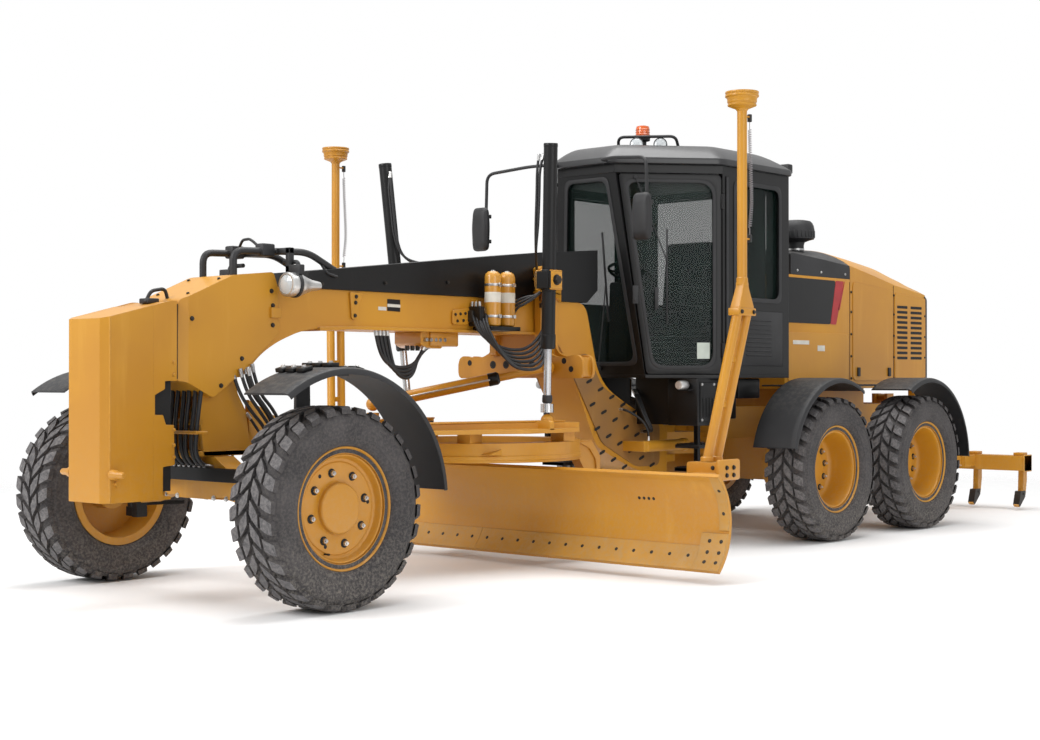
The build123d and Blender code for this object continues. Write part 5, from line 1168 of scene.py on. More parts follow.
def make_blade():
    """The blade's cutting edges, end bits, plough bolts, top lip and rail stops."""
    front = at(2.38)
    radius, centre_z = 0.413, 0.39
    centre_x = front + math.sqrt(radius**2 - 0.3**2)

    def face_point(z, out=0.0):
        return Vector((centre_x - (radius - out) * math.cos(math.asin((z - centre_z) / radius)), 0, z))

    def strip(shape, levels, y, out):
        outer = [face_point(z, out) for z in levels]
        inner = [face_point(z, -0.002) for z in levels]
        skin(shape, [add_ring(shape, [(p.x, edge, p.z) for p in outer + inner[::-1]]) for edge in sorted(y)])

    def plough_bolt(shape, y, z, out, profile):
        spot = face_point(z, out)
        normal = Vector((centre_x - spot.x, 0, centre_z - z)).normalized()
        add_lathe(shape, profile, along((spot.x, y, z), normal), 16)

    edge = bmesh.new()
    low = [0.0905, 0.12, 0.15, 0.18, 0.21, 0.235]
    strip(edge, low, (-1.93, -0.0015), 0.013)
    strip(edge, low, (0.0015, 1.93), 0.013)
    for side in (1, -1):
        strip(edge, [0.0905, 0.13, 0.18, 0.23, 0.28, 0.32], (side * 1.933, side * 2.1335), 0.019)
        strip(edge, [0.34, 0.42, 0.5, 0.58, 0.66, 0.685], (side * 2.06, side * 2.1335), 0.008)
    finish_piece("cutting_edges", edge, "blade", edge_steel, smooth=0.3)
    bolts = bmesh.new()
    for k in range(26):
        plough_bolt(bolts, -1.86 + 0.1488 * k, 0.17, 0.013, [(0.0125, -0.001), (0.0125, 0.0008), (0.009, 0.0028),
                                                             (0, 0.0034)])
    for side in (1, -1):
        for z in (0.14, 0.20, 0.27, 0.45, 0.6):
            for inset in (0.04, 0.13) if z < 0.3 else (0.037,):
                plough_bolt(bolts, side * (2.134 - inset), z, 0.019 if z < 0.3 else 0.008,
                            [(0.0135, -0.001), (0.0135, 0.0012), (0.009, 0.0035), (0, 0.0045)])
        for y in (1.42, 1.46, 1.50, 1.54):
            plough_bolt(bolts, side * y, 0.52, 0.0, [(0.0115, -0.001), (0.0115, 0.001), (0.007, 0.003), (0, 0.0036)])
    finish_piece("plough_bolts", bolts, "blade", dark_steel)
    lip = bmesh.new()
    strip(lip, [0.664, 0.676, 0.6895], (-2.06, 2.06), 0.005)
    finish_piece("blade_top_lip", lip, "blade", yellow_paint)
    wear = bmesh.new()
    for side in (1, -1):
        for z in (0.26, 0.52):
            add_block(wear, (2.499, 2.561), (side * 1.42, side * 1.5), (z - 0.036, z + 0.036), 0.003)
    finish_piece("rail_stops", wear, "blade", yellow_paint)


def make_masts():
    """Sensor masts: boxed feet with a window, twin legs, collar, cone, pole and ridged head."""
    shape, bolts, plugs = bmesh.new(), bmesh.new(), bmesh.new()
    for side in (1, -1):
        y = side * MAST_Y
        here = Matrix.Translation((MAST_X, y, 0))
        foot = eased(oblong((side * 1.73, side * 2.0), (0.652, 0.77)), 0.02, 4)
        for span in ((2.60, 2.625), (2.79, 2.815)):
            add_cross_plate(shape, foot, span, bevel=0.003)
        add_block(shape, (2.61, 2.80), (side * 1.73, side * 1.755), (0.655, 0.768), 0.006)
        add_block(shape, (2.61, 2.80), (side * 1.74, side * 1.99), (0.652, 0.668))
        add_block(shape, (2.61, 2.80), (side * 1.80, side * 1.99), (0.752, 0.77))
        add_block(shape, (2.585, 2.83), (side * 1.97, side * 2.005), (0.65, 0.79), 0.016)
        for leg in (-0.055, 0.055):
            add_rod(shape, point(MAST_BACK - 0.13 - leg, side * 1.85, 0.75), point(MAST_BACK - leg, y, 1.76), 0.033,
                    28)
            add_lathe(shape, [(0.0335, 0.77), (0.043, 0.772), (0.043, 0.80), (0.0335, 0.806)],
                      Matrix.Translation(point(MAST_BACK - 0.127 - leg, side * 1.853, 0)), 24)
        add_box(shape, (-0.1, -0.045, 1.74), (0.1, 0.045, 1.79), here, 0.006)
        for z in (1.15, 1.45):
            share = (z - 0.75) / 1.01
            lean, back = 1.85 + 0.16 * share, MAST_BACK - 0.13 * (1 - share)
            add_block(shape, (back - 0.05, back + 0.05), (side * (lean - 0.006), side * (lean + 0.006)),
                      (z - 0.02, z + 0.02), 0.003)
        levels = ((1.79, 0.085, 0.040), (1.80, 0.085, 0.040), (1.93, 0.034, 0.033), (1.96, 0.033, 0.033))
        rows = []
        for z, half_x, half_y in levels:
            corners = eased(oblong((-half_x, half_x), (-half_y, half_y)), 0.012, 3)
            rows.append(add_ring(shape, [here @ Vector((px, py, z)) for px, py in corners]))
        skin(shape, rows)
        add_lathe(shape, [(0.033, 1.94), (0.038, 1.945), (0.038, 1.99), (0.033, 1.995), (0.033, 3.10), (0.045, 3.115),
                          (0.078, 3.128), (0.095, 3.135), (0.0965, 3.142), (0.092, 3.150), (0.0985, 3.16),
                          (0.0985, 3.178), (0.104, 3.19), (0.112, 3.195), (0.112, 3.205), (0.107, 3.212),
                          (0.112, 3.219), (0.111, 3.2285), (0.06, 3.2298), (0, 3.2299)],
                  here, 44)
        for z in (3.065, 2.248):
            add_box(shape, (-0.1, -0.008, z), (-0.02, 0.008, z + 0.012), here, 0.002)
        for dx in (-0.07, 0.07):
            add_bolt(bolts, along((MAST_X + dx, y + side * 0.045, 1.765), (0, side, 0)), 0.012)
        for dx in (-0.04, 0.04):
            for z in (0.685, 0.735):
                add_bolt(bolts, along((at(2.705) + dx, side * 2.005, z), (0, side, 0)), 0.013)
        for z in (0.685, 0.735):
            add_bolt(bolts, forwards(2.60, side * 1.94, z), 0.012)
        for low, high in ((3.040, 3.09), (2.235, 2.285)):
            add_rod(plugs, (CORD_X, y, low), (CORD_X, y, high), 0.0155)
        add_block(shape, (2.50, 2.66), (side * 1.80, side * 1.98), (0.655, 0.70), 0.006)
    finish_piece("mast_frames", shape, "blade", yellow_paint, smooth=0.45, slot="yellow_paint", replaces=["masts"])
    finish_piece("mast_bolts", bolts, "blade", dark_steel)
    finish_piece("cord_plugs", plugs, "blade", black_plastic)


def make_centre_shift():
    """A gland, a collar and a steel pipe on the centre-shift cylinder."""
    start, end = point(2.81, 0.33, 1.40), point(1.9, -0.56, 1.135)
    run = end - start
    place = along(start, run)
    total = run.length
    shape = bmesh.new()
    begin = total * 0.3
    add_lathe(shape, [(0.029, begin - 0.03), (0.036, begin - 0.028), (0.048, begin - 0.012), (0.0485, begin + 0.05),
                      (0.0452, begin + 0.055)], place, 36)
    add_lathe(shape, [(0.0452, total - 0.12), (0.048, total - 0.118), (0.048, total - 0.09), (0.0452, total - 0.088)],
              place, 36)
    finish_piece("centre_shift_gland", shape, "centre_shift", black_paint)
    shape = bmesh.new()
    side = place.to_3x3() @ Vector((1, 0, 0))
    a, b = start + run * 0.34 + side * 0.06, start + run * 0.9 + side * 0.06
    add_tube(shape, [start + run * 0.335 + side * 0.04, a, b, start + run * 0.91 + side * 0.04], 0.007, 0.02, 10)
    finish_piece("centre_shift_pipe", shape, "centre_shift", bright_steel)


edge_steel = painted("edge_enamel", linear(205, 150, 56), linear(178, 160, 128), linear(176, 128, 50), 0.42, 0.15,
                     0.004, 0.6)
make_saddle()
make_lift_cylinders()
make_accumulators()
make_drawbar_trim()
make_circle_trim()
make_blade()
make_masts()
make_centre_shift()


# The masts' cords
def smooth_line(name, points, thickness, finish):
    """A round line that follows its control points on one NURBS spline."""
    curve = bpy.data.curves.new(name, "CURVE")
    curve.dimensions = "3D"
    spline = curve.splines.new("NURBS")
    spline.points.add(len(points) - 1)
    for control, point in zip(spline.points, points):
        control.co = (*point, 1)
    spline.order_u = 3
    spline.use_endpoint_u = True
    spline.resolution_u = 10
    piece = bpy.data.objects.new(name, curve)
    scene.collection.objects.link(piece)
    bare = bpy.data.meshes.new_from_object(piece)
    trace = [vert.co.copy() for vert in bare.vertices]
    bpy.data.meshes.remove(bare)
    curve.bevel_depth = thickness / 2
    curve.bevel_resolution = 3
    curve.use_fill_caps = True
    curve.materials.append(finish)
    return piece, trace


def run_length(trace):
    return sum((b - a).length for a, b in zip(trace, trace[1:]))


def hose(name, body, places, diameter):
    """A hydraulic hose through (back, y, z) places, with a bright ferrule at each end."""
    points = route(*places)
    piece, trace = smooth_line(f"hose_{name}", points, diameter, hose_rubber)
    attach(piece, body)
    shape = bmesh.new()
    for end, inward in ((trace[0], trace[1]), (trace[-1], trace[-2])):
        way = (inward - end).normalized()
        place = along(end - way * diameter * 0.6, way)
        wide = diameter * 0.62
        add_lathe(shape, [(0, 0), (wide, 0), (wide, diameter * 1.1), (wide * 0.9, diameter * 1.3),
                          (wide * 0.9, diameter * 2.4),
                          (wide * 0.86, diameter * 2.5), (0, diameter * 2.5)], place, 14)
    finish_piece(f"ferrules_{name}", shape, body, bright_steel)


def curly_cord(name, side):
    """The mast's curly cord: straight tails and a helix about the route, from socket to socket."""
    course = [(x, side * MAST_Y, z) for x, z in (
        (CORD_X, 3.045), (CORD_X - 0.002, 2.9), (CORD_X - 0.016, 2.68), (CORD_X - 0.026, 2.48),
        (CORD_X - 0.004, 2.35), (CORD_X, 2.28),
    )]
    guide, trace = smooth_line(f"route_{name}", course, 0.001, cord_grey)
    bpy.data.objects.remove(guide)
    total = run_length(trace)
    turns, steps, coil_radius, tail = 44, 12, 0.0105, 0.09
    points = [trace[0], trace[0] + (trace[1] - trace[0]).normalized() * 0.03]
    walked = [0.0]
    for a, b in zip(trace, trace[1:]):
        walked.append(walked[-1] + (b - a).length)
    for k in range(turns * steps + 1):
        reach = tail * 0.6 + (total - tail * 1.2) * k / (turns * steps)
        index = max(i for i, w in enumerate(walked[:-1]) if w <= reach)
        share = (reach - walked[index]) / (walked[index + 1] - walked[index])
        middle = trace[index].lerp(trace[index + 1], share)
        way = (trace[index + 1] - trace[index]).normalized()
        first = way.orthogonal().normalized()
        angle = 2 * math.pi * k / steps
        points.append(middle + coil_radius * (first * math.cos(angle) + way.cross(first) * math.sin(angle)))
    points += [trace[-1] - (trace[-1] - trace[-2]).normalized() * 0.03, trace[-1]]
    piece, line = smooth_line(f"curly_cord_{name}", points, 0.0055, cord_grey)
    piece.data.bevel_resolution = 1
    piece.data.splines[0].resolution_u = 2
    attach(piece, "blade")
    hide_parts(f"mast_cord_{name}")


curly_cord("left", 1)
curly_cord("right", -1)


# Cab
CAB_FRONT, CAB_CORNER, CAB_REAR = 3.65, 4.30, 5.25
NOSE_Y, CAB_Y = 0.28, 0.85
FLOOR_Z, EAVE_Z = 1.35, 2.98
DOOR_RUN = math.hypot(CAB_CORNER - CAB_FRONT, CAB_Y - NOSE_Y)
# How far the door's front edge leans back at its foot
LEAN = 0.25


def add_frame(shape, outer, inner, place, depth, bevel):
    """A flat frame between two outlines with as many points, raised along a placed Z axis."""
    rows = [
        add_ring(shape, [place @ Vector((x, y, z)) for x, y in outline])
        for outline, z in ((outer, 0), (outer, depth), (inner, depth), (inner, 0))
    ]
    for first, second in zip(rows, rows[1:] + rows[:1]):
        bridge(shape, first, second)
    edges = [shape.edges.get((a, b)) for row in (rows[1], rows[2]) for a, b in zip(row, row[1:] + row[:1])]
    ease_edges(shape, edges, bevel)


def door_place(side, offset=0.0):
    """The door's plane: X along the canted side, Y up, Z outwards."""
    run = Vector((-(CAB_CORNER - CAB_FRONT), side * (CAB_Y - NOSE_Y), 0)) / DOOR_RUN
    out = Vector((abs(run.y), -run.x * side, 0))
    place = Matrix((run, Vector((0, 0, 1)), out)).transposed().to_4x4()
    place.translation = point(CAB_FRONT, side * NOSE_Y, 0) + out * offset
    return place


def front_place():
    """The windscreen's plane: X to the machine's left, Y up along the lean, Z outwards."""
    foot = LEAN / DOOR_RUN
    foot_back = CAB_FRONT + (CAB_CORNER - CAB_FRONT) * foot
    lean = math.hypot(foot_back - CAB_FRONT, EAVE_Z - FLOOR_Z)
    out = Vector((EAVE_Z - FLOOR_Z, 0, -(foot_back - CAB_FRONT))) / lean
    across = Vector((0, 1, 0))
    place = Matrix((across, out.cross(across), out)).transposed().to_4x4()
    place.translation = point(foot_back, 0, FLOOR_Z)
    return place, lean


def shrunk(outline, reach):
    """A convex outline set in by a distance."""
    made = []
    count = len(outline)
    turn = 1 if sum(outline[k][0] * outline[(k + 1) % count][1] - outline[(k + 1) % count][0] * outline[k][1]
                    for k in range(count)) > 0 else -1
    for k, corner in enumerate(outline):
        here = Vector(corner)
        first = (here - Vector(outline[k - 1])).normalized()
        second = (Vector(outline[(k + 1) % count]) - here).normalized()
        normal_a, normal_b = Vector((-first.y, first.x)) * turn, Vector((-second.y, second.x)) * turn
        middle = (normal_a + normal_b).normalized()
        made.append(tuple(here + middle * reach / max(0.3, middle.dot(normal_a))))
    return made


DOOR_OUTLINE = [(LEAN + 0.008, FLOOR_Z + 0.005), (DOOR_RUN - 0.008, FLOOR_Z + 0.005),
                (DOOR_RUN - 0.008, EAVE_Z - 0.07),
                (0.04, EAVE_Z - 0.07)]
DOOR_WINDOW = [(LEAN + 0.06, FLOOR_Z + 0.06), (DOOR_RUN - 0.07, FLOOR_Z + 0.06), (DOOR_RUN - 0.07, EAVE_Z - 0.13),
               (0.10, EAVE_Z - 0.13)]


def make_door(name, side):
    """A door: rounded frame with its hinges, window gasket, latch, blank label, grab bar inside and wiper."""
    body = f"door_{name}"
    shape = bmesh.new()
    radii_out = [0.03, 0.03, 0.05, 0.03]
    radii_in = [0.10, 0.12, 0.13, 0.08]
    add_frame(shape, eased(DOOR_OUTLINE, radii_out, 6), eased(DOOR_WINDOW, radii_in, 6), door_place(side, -0.06),
              0.06, 0.006)
    corner = point(CAB_CORNER, side * CAB_Y, 0)
    for level in (1.48, 2.64):
        add_lathe(shape, [(0, level + 0.0603), (0.016, level + 0.0603), (0.016, level + 0.117), (0.012, level + 0.12),
                          (0, level + 0.12)],
                  Matrix.Translation(corner), 24)
    finish_piece(f"door_frame_{name}", shape, body, black_paint, smooth=0.5, slot="black_paint",
                 replaces=[f"door_{name}"])
    shape = bmesh.new()
    rim = eased(shrunk(DOOR_WINDOW, -0.016), radii_in, 6)
    opening = eased(shrunk(DOOR_WINDOW, 0.010), [r - 0.01 for r in radii_in], 6)
    add_frame(shape, rim, opening, door_place(side, -0.002), 0.006, 0.002)
    finish_piece(f"door_gasket_{name}", shape, body, black_plastic)
    shape = bmesh.new()
    place = door_place(side)
    add_box(shape, (LEAN + 0.075, 1.86, -0.012), (LEAN + 0.105, 2.03, 0.004), place, 0.004)
    add_box(shape, (LEAN - 0.10, 1.90, 0.0), (LEAN - 0.055, 2.04, 0.006), place, 0.003)
    add_lathe(shape, [(0, 0), (0.016, 0), (0.016, 0.006), (0.012, 0.009), (0, 0.009)],
              place @ Matrix.Translation((LEAN - 0.075, 1.93, 0.0)), 20)
    finish_piece(f"door_latch_{name}", shape, body, black_plastic)
    shape = bmesh.new()
    add_box(shape, (DOOR_RUN - 0.20, 1.475, -0.0245), (DOOR_RUN - 0.10, 1.60, -0.0185), place, 0)
    finish_piece(f"door_label_{name}", shape, body, pale_label)
    shape = bmesh.new()
    inner = door_place(side, -0.06)
    add_tube(shape, [inner @ Vector((DOOR_RUN - 0.09, 1.55, 0)), inner @ Vector((DOOR_RUN - 0.12, 1.58, -0.05)),
                     inner @ Vector((DOOR_RUN - 0.12, 2.2, -0.05)), inner @ Vector((DOOR_RUN - 0.09, 2.23, 0))],
             0.012, 0.04)
    finish_piece(f"door_bar_{name}", shape, body, black_plastic)
    shape = bmesh.new()
    pivot = Vector((0.17, EAVE_Z - 0.10, 0.0))
    add_rod(shape, place @ pivot, place @ (pivot + Vector((0, 0, 0.012))), 0.014, 16)
    add_tube(shape, [place @ (pivot + Vector((0, 0, 0.010))), place @ (pivot + Vector((0.20, -0.52, 0.002))),
                     place @ (pivot + Vector((0.26, -0.66, -0.008)))], 0.0045, 0.03, 8)
    tip = pivot + Vector((0.255, -0.62, -0.012))
    add_box(shape, (tip.x - 0.006, tip.y - 0.52, -0.019), (tip.x + 0.006, tip.y + 0.22, -0.008), place, 0.002)
    finish_piece(f"door_wiper_{name}", shape, body, black_plastic)


def add_gasket(shape, pane, place, inset, outer_radii, inner_radii):
    """A seal about a window's opening, standing 6 mm out of the wall."""
    add_frame(shape, eased(shrunk(pane, -inset), outer_radii, 6), eased(shrunk(pane, 0.012), inner_radii, 6),
              place @ Matrix.Translation((0, 0, -0.002)), 0.008, 0.002)


def make_cab_shell():
    """Gaskets about the fixed windows, the walls' raised panels with their slats, and the windscreen's wiper."""
    shape = bmesh.new()
    place, lean = front_place()
    window = [(-0.365, 0.09), (0.365, 0.09), (0.20, lean - 0.11), (-0.20, lean - 0.11)]
    add_gasket(shape, window, place, 0.018, [0.08, 0.08, 0.06, 0.06], [0.09, 0.09, 0.07, 0.07])
    for side in (1, -1):
        wall = Matrix(((1, 0, 0, 0), (0, 0, side, side * CAB_Y), (0, 1, 0, 0), (0, 0, 0, 1)))
        add_gasket(shape, oblong((at(5.11), at(4.47)), (1.95, 2.86)), wall, 0.022, 0.07, 0.08)
    rear = Matrix(((0, 0, -1, at(CAB_REAR)), (1, 0, 0, 0), (0, 1, 0, 0), (0, 0, 0, 1)))
    add_gasket(shape, oblong((-0.67, 0.67), (1.95, 2.86)), rear, 0.022, 0.07, 0.08)
    for side in (1, -1):
        y = side * CAB_Y
        add_block(shape, (4.43, 5.15), (y, y + side * 0.006), (1.42, 1.86), 0.005)
        add_block(shape, (4.34, 4.375), (y, y + side * 0.008), (1.40, 2.9), 0.006)
        for k in range(9):
            z = 1.50 + 0.035 * k
            add_block(shape, (4.62, 4.98), (y + side * 0.006, y + side * 0.011), (z, z + 0.014), 0.003)
    finish_piece("cab_gaskets", shape, "front_frame", black_plastic)
    shape = bmesh.new()
    pivot = Vector((0.0, 0.05, 0.0))
    add_rod(shape, place @ pivot, place @ (pivot + Vector((0, 0, 0.03))), 0.016, 16)
    add_tube(shape, [place @ (pivot + Vector((0, 0, 0.026))), place @ Vector((0.09, 0.5, 0.018)),
                     place @ Vector((0.115, 0.72, -0.004))],
             0.005, 0.03, 8)
    add_box(shape, (0.105, 0.42, -0.018), (0.117, 1.12, -0.004), place, 0.002)
    finish_piece("windscreen_wiper", shape, "front_frame", black_plastic)


def make_roof():
    """The roof: a lip over the walls that rounds up into the flatter crown, with its ribs."""
    outline = [(at(3.59), -0.29), (at(3.59), 0.29), (at(4.26), 0.88), (at(5.29), 0.88), (at(5.29), -0.88),
               (at(4.26), -0.88)]
    crown_line = [(at(3.80), -0.22), (at(3.80), 0.22), (at(4.36), 0.70), (at(5.0), 0.70), (at(5.0), -0.70),
                  (at(4.36), -0.70)]
    shape = bmesh.new()
    rows = []
    for z, share, inset in ((2.981, 0, 0.012), (2.986, 0, 0.002), (3.018, 0, 0.0), (3.030, 0.02, 0.0),
                            (3.05, 0.14, 0), (3.08, 0.34, 0), (3.11, 0.56, 0), (3.132, 0.76, 0),
                            (3.144, 0.9, 0), (3.1495, 1.0, 0)):
        line = [tuple(Vector(a).lerp(Vector(b), share)) for a, b in zip(shrunk(outline, inset) if inset else outline,
                                                                        crown_line)]
        rows.append(add_ring(shape, [(x, y, z) for x, y in eased(line, 0.07, 5)]))
    skin(shape, rows)
    # The roof takes the lighter copy of the black paint: painted light on its top
    finish_piece("roof_shell", shape, "front_frame", roof_paint_with_painted_light, smooth=0.5, slot="black_paint",
                 replaces=["cab_roof"])
    shape = bmesh.new()
    for back in (4.45, 4.6, 4.75, 4.9):
        add_block(shape, (back, back + 0.05), (-0.6, 0.6), (3.147, 3.153), 0.003)
    finish_piece("roof_ribs", shape, "front_frame", black_plastic)


def pad(name, low, high, place, round_off, puff):
    """A padded piece: a fine box with rounded corners, fuller in its middle, piped at its edge."""
    shape = bmesh.new()
    add_box(shape, low, high, None, 0)
    bmesh.ops.subdivide_edges(shape, edges=shape.edges[:], cuts=9, use_grid_fill=True)
    middle, half = (Vector(low) + Vector(high)) / 2, (Vector(high) - Vector(low)) / 2
    for vert in shape.verts:
        share = Vector([(vert.co[k] - middle[k]) / half[k] for k in range(3)])
        core = Vector([max(-half[k] + round_off, min(half[k] - round_off, vert.co[k] - middle[k])) for k in range(3)])
        away = (vert.co - middle) - core
        if away.length > 1e-6:
            away = away.normalized() * round_off
        soft = (1 - share.x**2) * (1 - share.y**2)
        rib = 0.5 + 0.5 * math.cos(share.x * 9.4)
        lift = (puff * soft + 0.006 * soft * rib) if share.z > 0 else 0.0
        vert.co = place @ (middle + core + away + Vector((0, 0, lift)))
    piece = finish_piece(name, shape, "front_frame", seat_trim, smooth=0.8, slot="seat_trim")
    return piece


def make_station():
    """Seat on its bellows, console with the wheel, arm pods with levers, pedals, and the cab's inner panels."""
    seat = 4.82
    wheel = along(point(4.22, 0, 2.17), (-0.45, 0, 1))
    shape = bmesh.new()
    for k in range(7):
        z = 1.40 + 0.045 * k
        add_block(shape, (seat - 0.17 + 0.008 * (k % 2), seat + 0.17 - 0.008 * (k % 2)), (-0.18, 0.18),
                  (z, z + 0.043), 0.012)
    add_block(shape, (seat - 0.19, seat + 0.19), (-0.2, 0.2), (1.351, 1.40), 0.008)
    add_block(shape, (seat - 0.22, seat + 0.20), (-0.22, 0.22), (1.715, 1.755), 0.01)
    console = eased([(4.05, 1.351), (4.27, 1.351), (4.21, 2.05), (4.07, 2.105)], 0.03, 4)
    add_side_plate(shape, console, (-0.09, 0.09), bevel=0.012)
    for side in (1, -1):
        add_block(shape, (seat - 0.33, seat + 0.15), (side * 0.29, side * 0.38), (1.91, 2.065), 0.02)
        add_block(shape, (seat - 0.04, seat + 0.10), (side * 0.255, side * 0.295), (1.79, 1.99), 0.01)
        add_rod(shape, point(seat - 0.27, side * 0.335, 2.06), point(seat - 0.29, side * 0.335, 2.13), 0.012, 14)
        add_lathe(shape, [(0, 0), (0.018, 0.004), (0.024, 0.03), (0.026, 0.06), (0.018, 0.085), (0, 0.09)],
                  along(point(seat - 0.287, side * 0.335, 2.12), (0.15, 0, 1)), 20)
        add_block(shape, (4.0, 4.09), (side * 0.12, side * 0.19), (1.40, 1.42), 0.004)
        add_block(shape, (5.085, 5.11), (side * 0.38, side * 0.72), (1.36, 2.9), 0.01)
        add_block(shape, (4.95, 5.11), (side * 0.40, side * 0.72), (1.36, 1.98), 0.02)
    add_block(shape, (4.05, 5.10), (-0.62, 0.62), (2.90, 2.955), 0.02)
    add_block(shape, (5.08, 5.11), (-0.38, 0.38), (1.36, 1.93), 0.01)
    add_lathe(shape, [(0.17, -0.012), (0.1855, -0.008), (0.19, 0.0), (0.1855, 0.008), (0.17, 0.012), (0.166, 0.0),
                      (0.17, -0.012)],
              wheel, 44)
    add_lathe(shape, [(0, -0.05), (0.03, -0.05), (0.036, -0.01), (0.03, 0.006), (0, 0.008)], wheel, 24)
    for k in range(3):
        turn = wheel @ Matrix.Rotation(2 * math.pi * k / 3 + 0.5, 4, "Z")
        add_box(shape, (0.02, -0.014, -0.012), (0.172, 0.014, -0.002), turn, 0.003)
    finish_piece("station_frame", shape, "front_frame", black_plastic, slot="seat_trim",
                 replaces=["operator_station"])
    pad("seat_cushion", (at(5.06), -0.26, 1.75), (at(4.56), 0.26, 1.87), Matrix.Identity(4), 0.035, 0.012)
    tilt = Matrix.Translation(point(5.02, 0, 1.87)) @ Matrix.Rotation(math.radians(83), 4, "Y")
    tilt = tilt @ Matrix.Rotation(math.pi, 4, "Z")
    pad("seat_back", (0.0, -0.24, -0.03), (0.60, 0.24, 0.07), tilt, 0.035, 0.012)


def make_cab_base():
    """Under the cab: bolted covers with ribs, steps with their treads, reflectors and a silver lamp."""
    black, grip, metal, white = bmesh.new(), bmesh.new(), bmesh.new(), bmesh.new()
    for side in (1, -1):
        add_block(black, (4.052, 4.458), (side * 0.5, side * 0.786), (0.955, 1.318), 0.008)
        add_block(black, (4.08, 4.43), (side * 0.786, side * 0.794), (0.985, 1.29), 0.006)
        for k in range(7):
            add_block(black, (4.11 + 0.042 * k, 4.127 + 0.042 * k), (side * 0.792, side * 0.80), (1.02, 1.17), 0.003)
        add_block(black, (4.47, 4.62), (side * 0.62, side * 0.76), (1.0, 1.32), 0.01)
        add_block(black, (4.65, 4.96), (side * 0.55, side * 0.76), (1.16, 1.322), 0.012)
        for level in (0.6, 0.78):
            add_block(grip, (4.06, 4.40), (side * 0.565, side * 0.795), (level, level + 0.028), 0.004)
            for k in range(9):
                add_block(grip, (4.075 + 0.037 * k, 4.085 + 0.037 * k), (side * 0.57, side * 0.79),
                          (level + 0.028, level + 0.036), 0.001)
        for back in (4.065, 4.375):
            add_block(grip, (back, back + 0.03), (side * 0.742, side * 0.778), (0.628, 0.965), 0.004)
        add_block(white, (4.30, 4.335), (side * 0.8, side * 0.806), (1.20, 1.27), 0.002)
        add_block(white, (4.50, 4.53), (side * 0.76, side * 0.766), (1.06, 1.12), 0.002)
        add_side_bolts(metal, side * 0.794, [(back, z) for back in (4.10, 4.26, 4.41) for z in (1.0, 1.275)], 0.009)
        add_lathe(metal, [(0, 0), (0.028, 0), (0.036, 0.01), (0.036, 0.1), (0.03, 0.115), (0, 0.118)],
                  along(point(4.02, side * 0.70, 1.27), (1, side * 0.1, 0)), 28)
        add_block(black, (4.0, 4.06), (side * 0.66, side * 0.74), (1.225, 1.235), 0.003)
    finish_piece("cab_lower_covers", black, "front_frame", black_paint)
    finish_piece("cab_steps", grip, "front_frame", black_paint)
    finish_piece("cab_cover_bolts", metal, "front_frame", bright_steel)
    finish_piece("cab_reflectors", white, "front_frame", white_band)


pale_label = plain("pale_label", linear(196, 206, 196), 0.5)
for door_name, door_side in (("left", 1), ("right", -1)):
    make_door(door_name, door_side)
make_cab_shell()
make_roof()
make_station()
make_cab_base()


# Hood, trim and rear
def crowned(low, edge, crown, half, drop):
    """A (y, z) section: upright sides, a shoulder that is cut by a drop, and an arc from edge to crown."""
    points = [(half, low), (half, edge - drop)]
    rise = crown - edge
    radius = (half**2 + rise**2) / (2 * rise)
    for k in range(17):
        y = (half - 0.005) * (1 - 2 * k / 16)
        points.append((y, crown - radius + math.sqrt(radius**2 - y**2) - (0.004 if k in (0, 16) else 0)))
    return points + [(-half, edge - drop), (-half, low)]


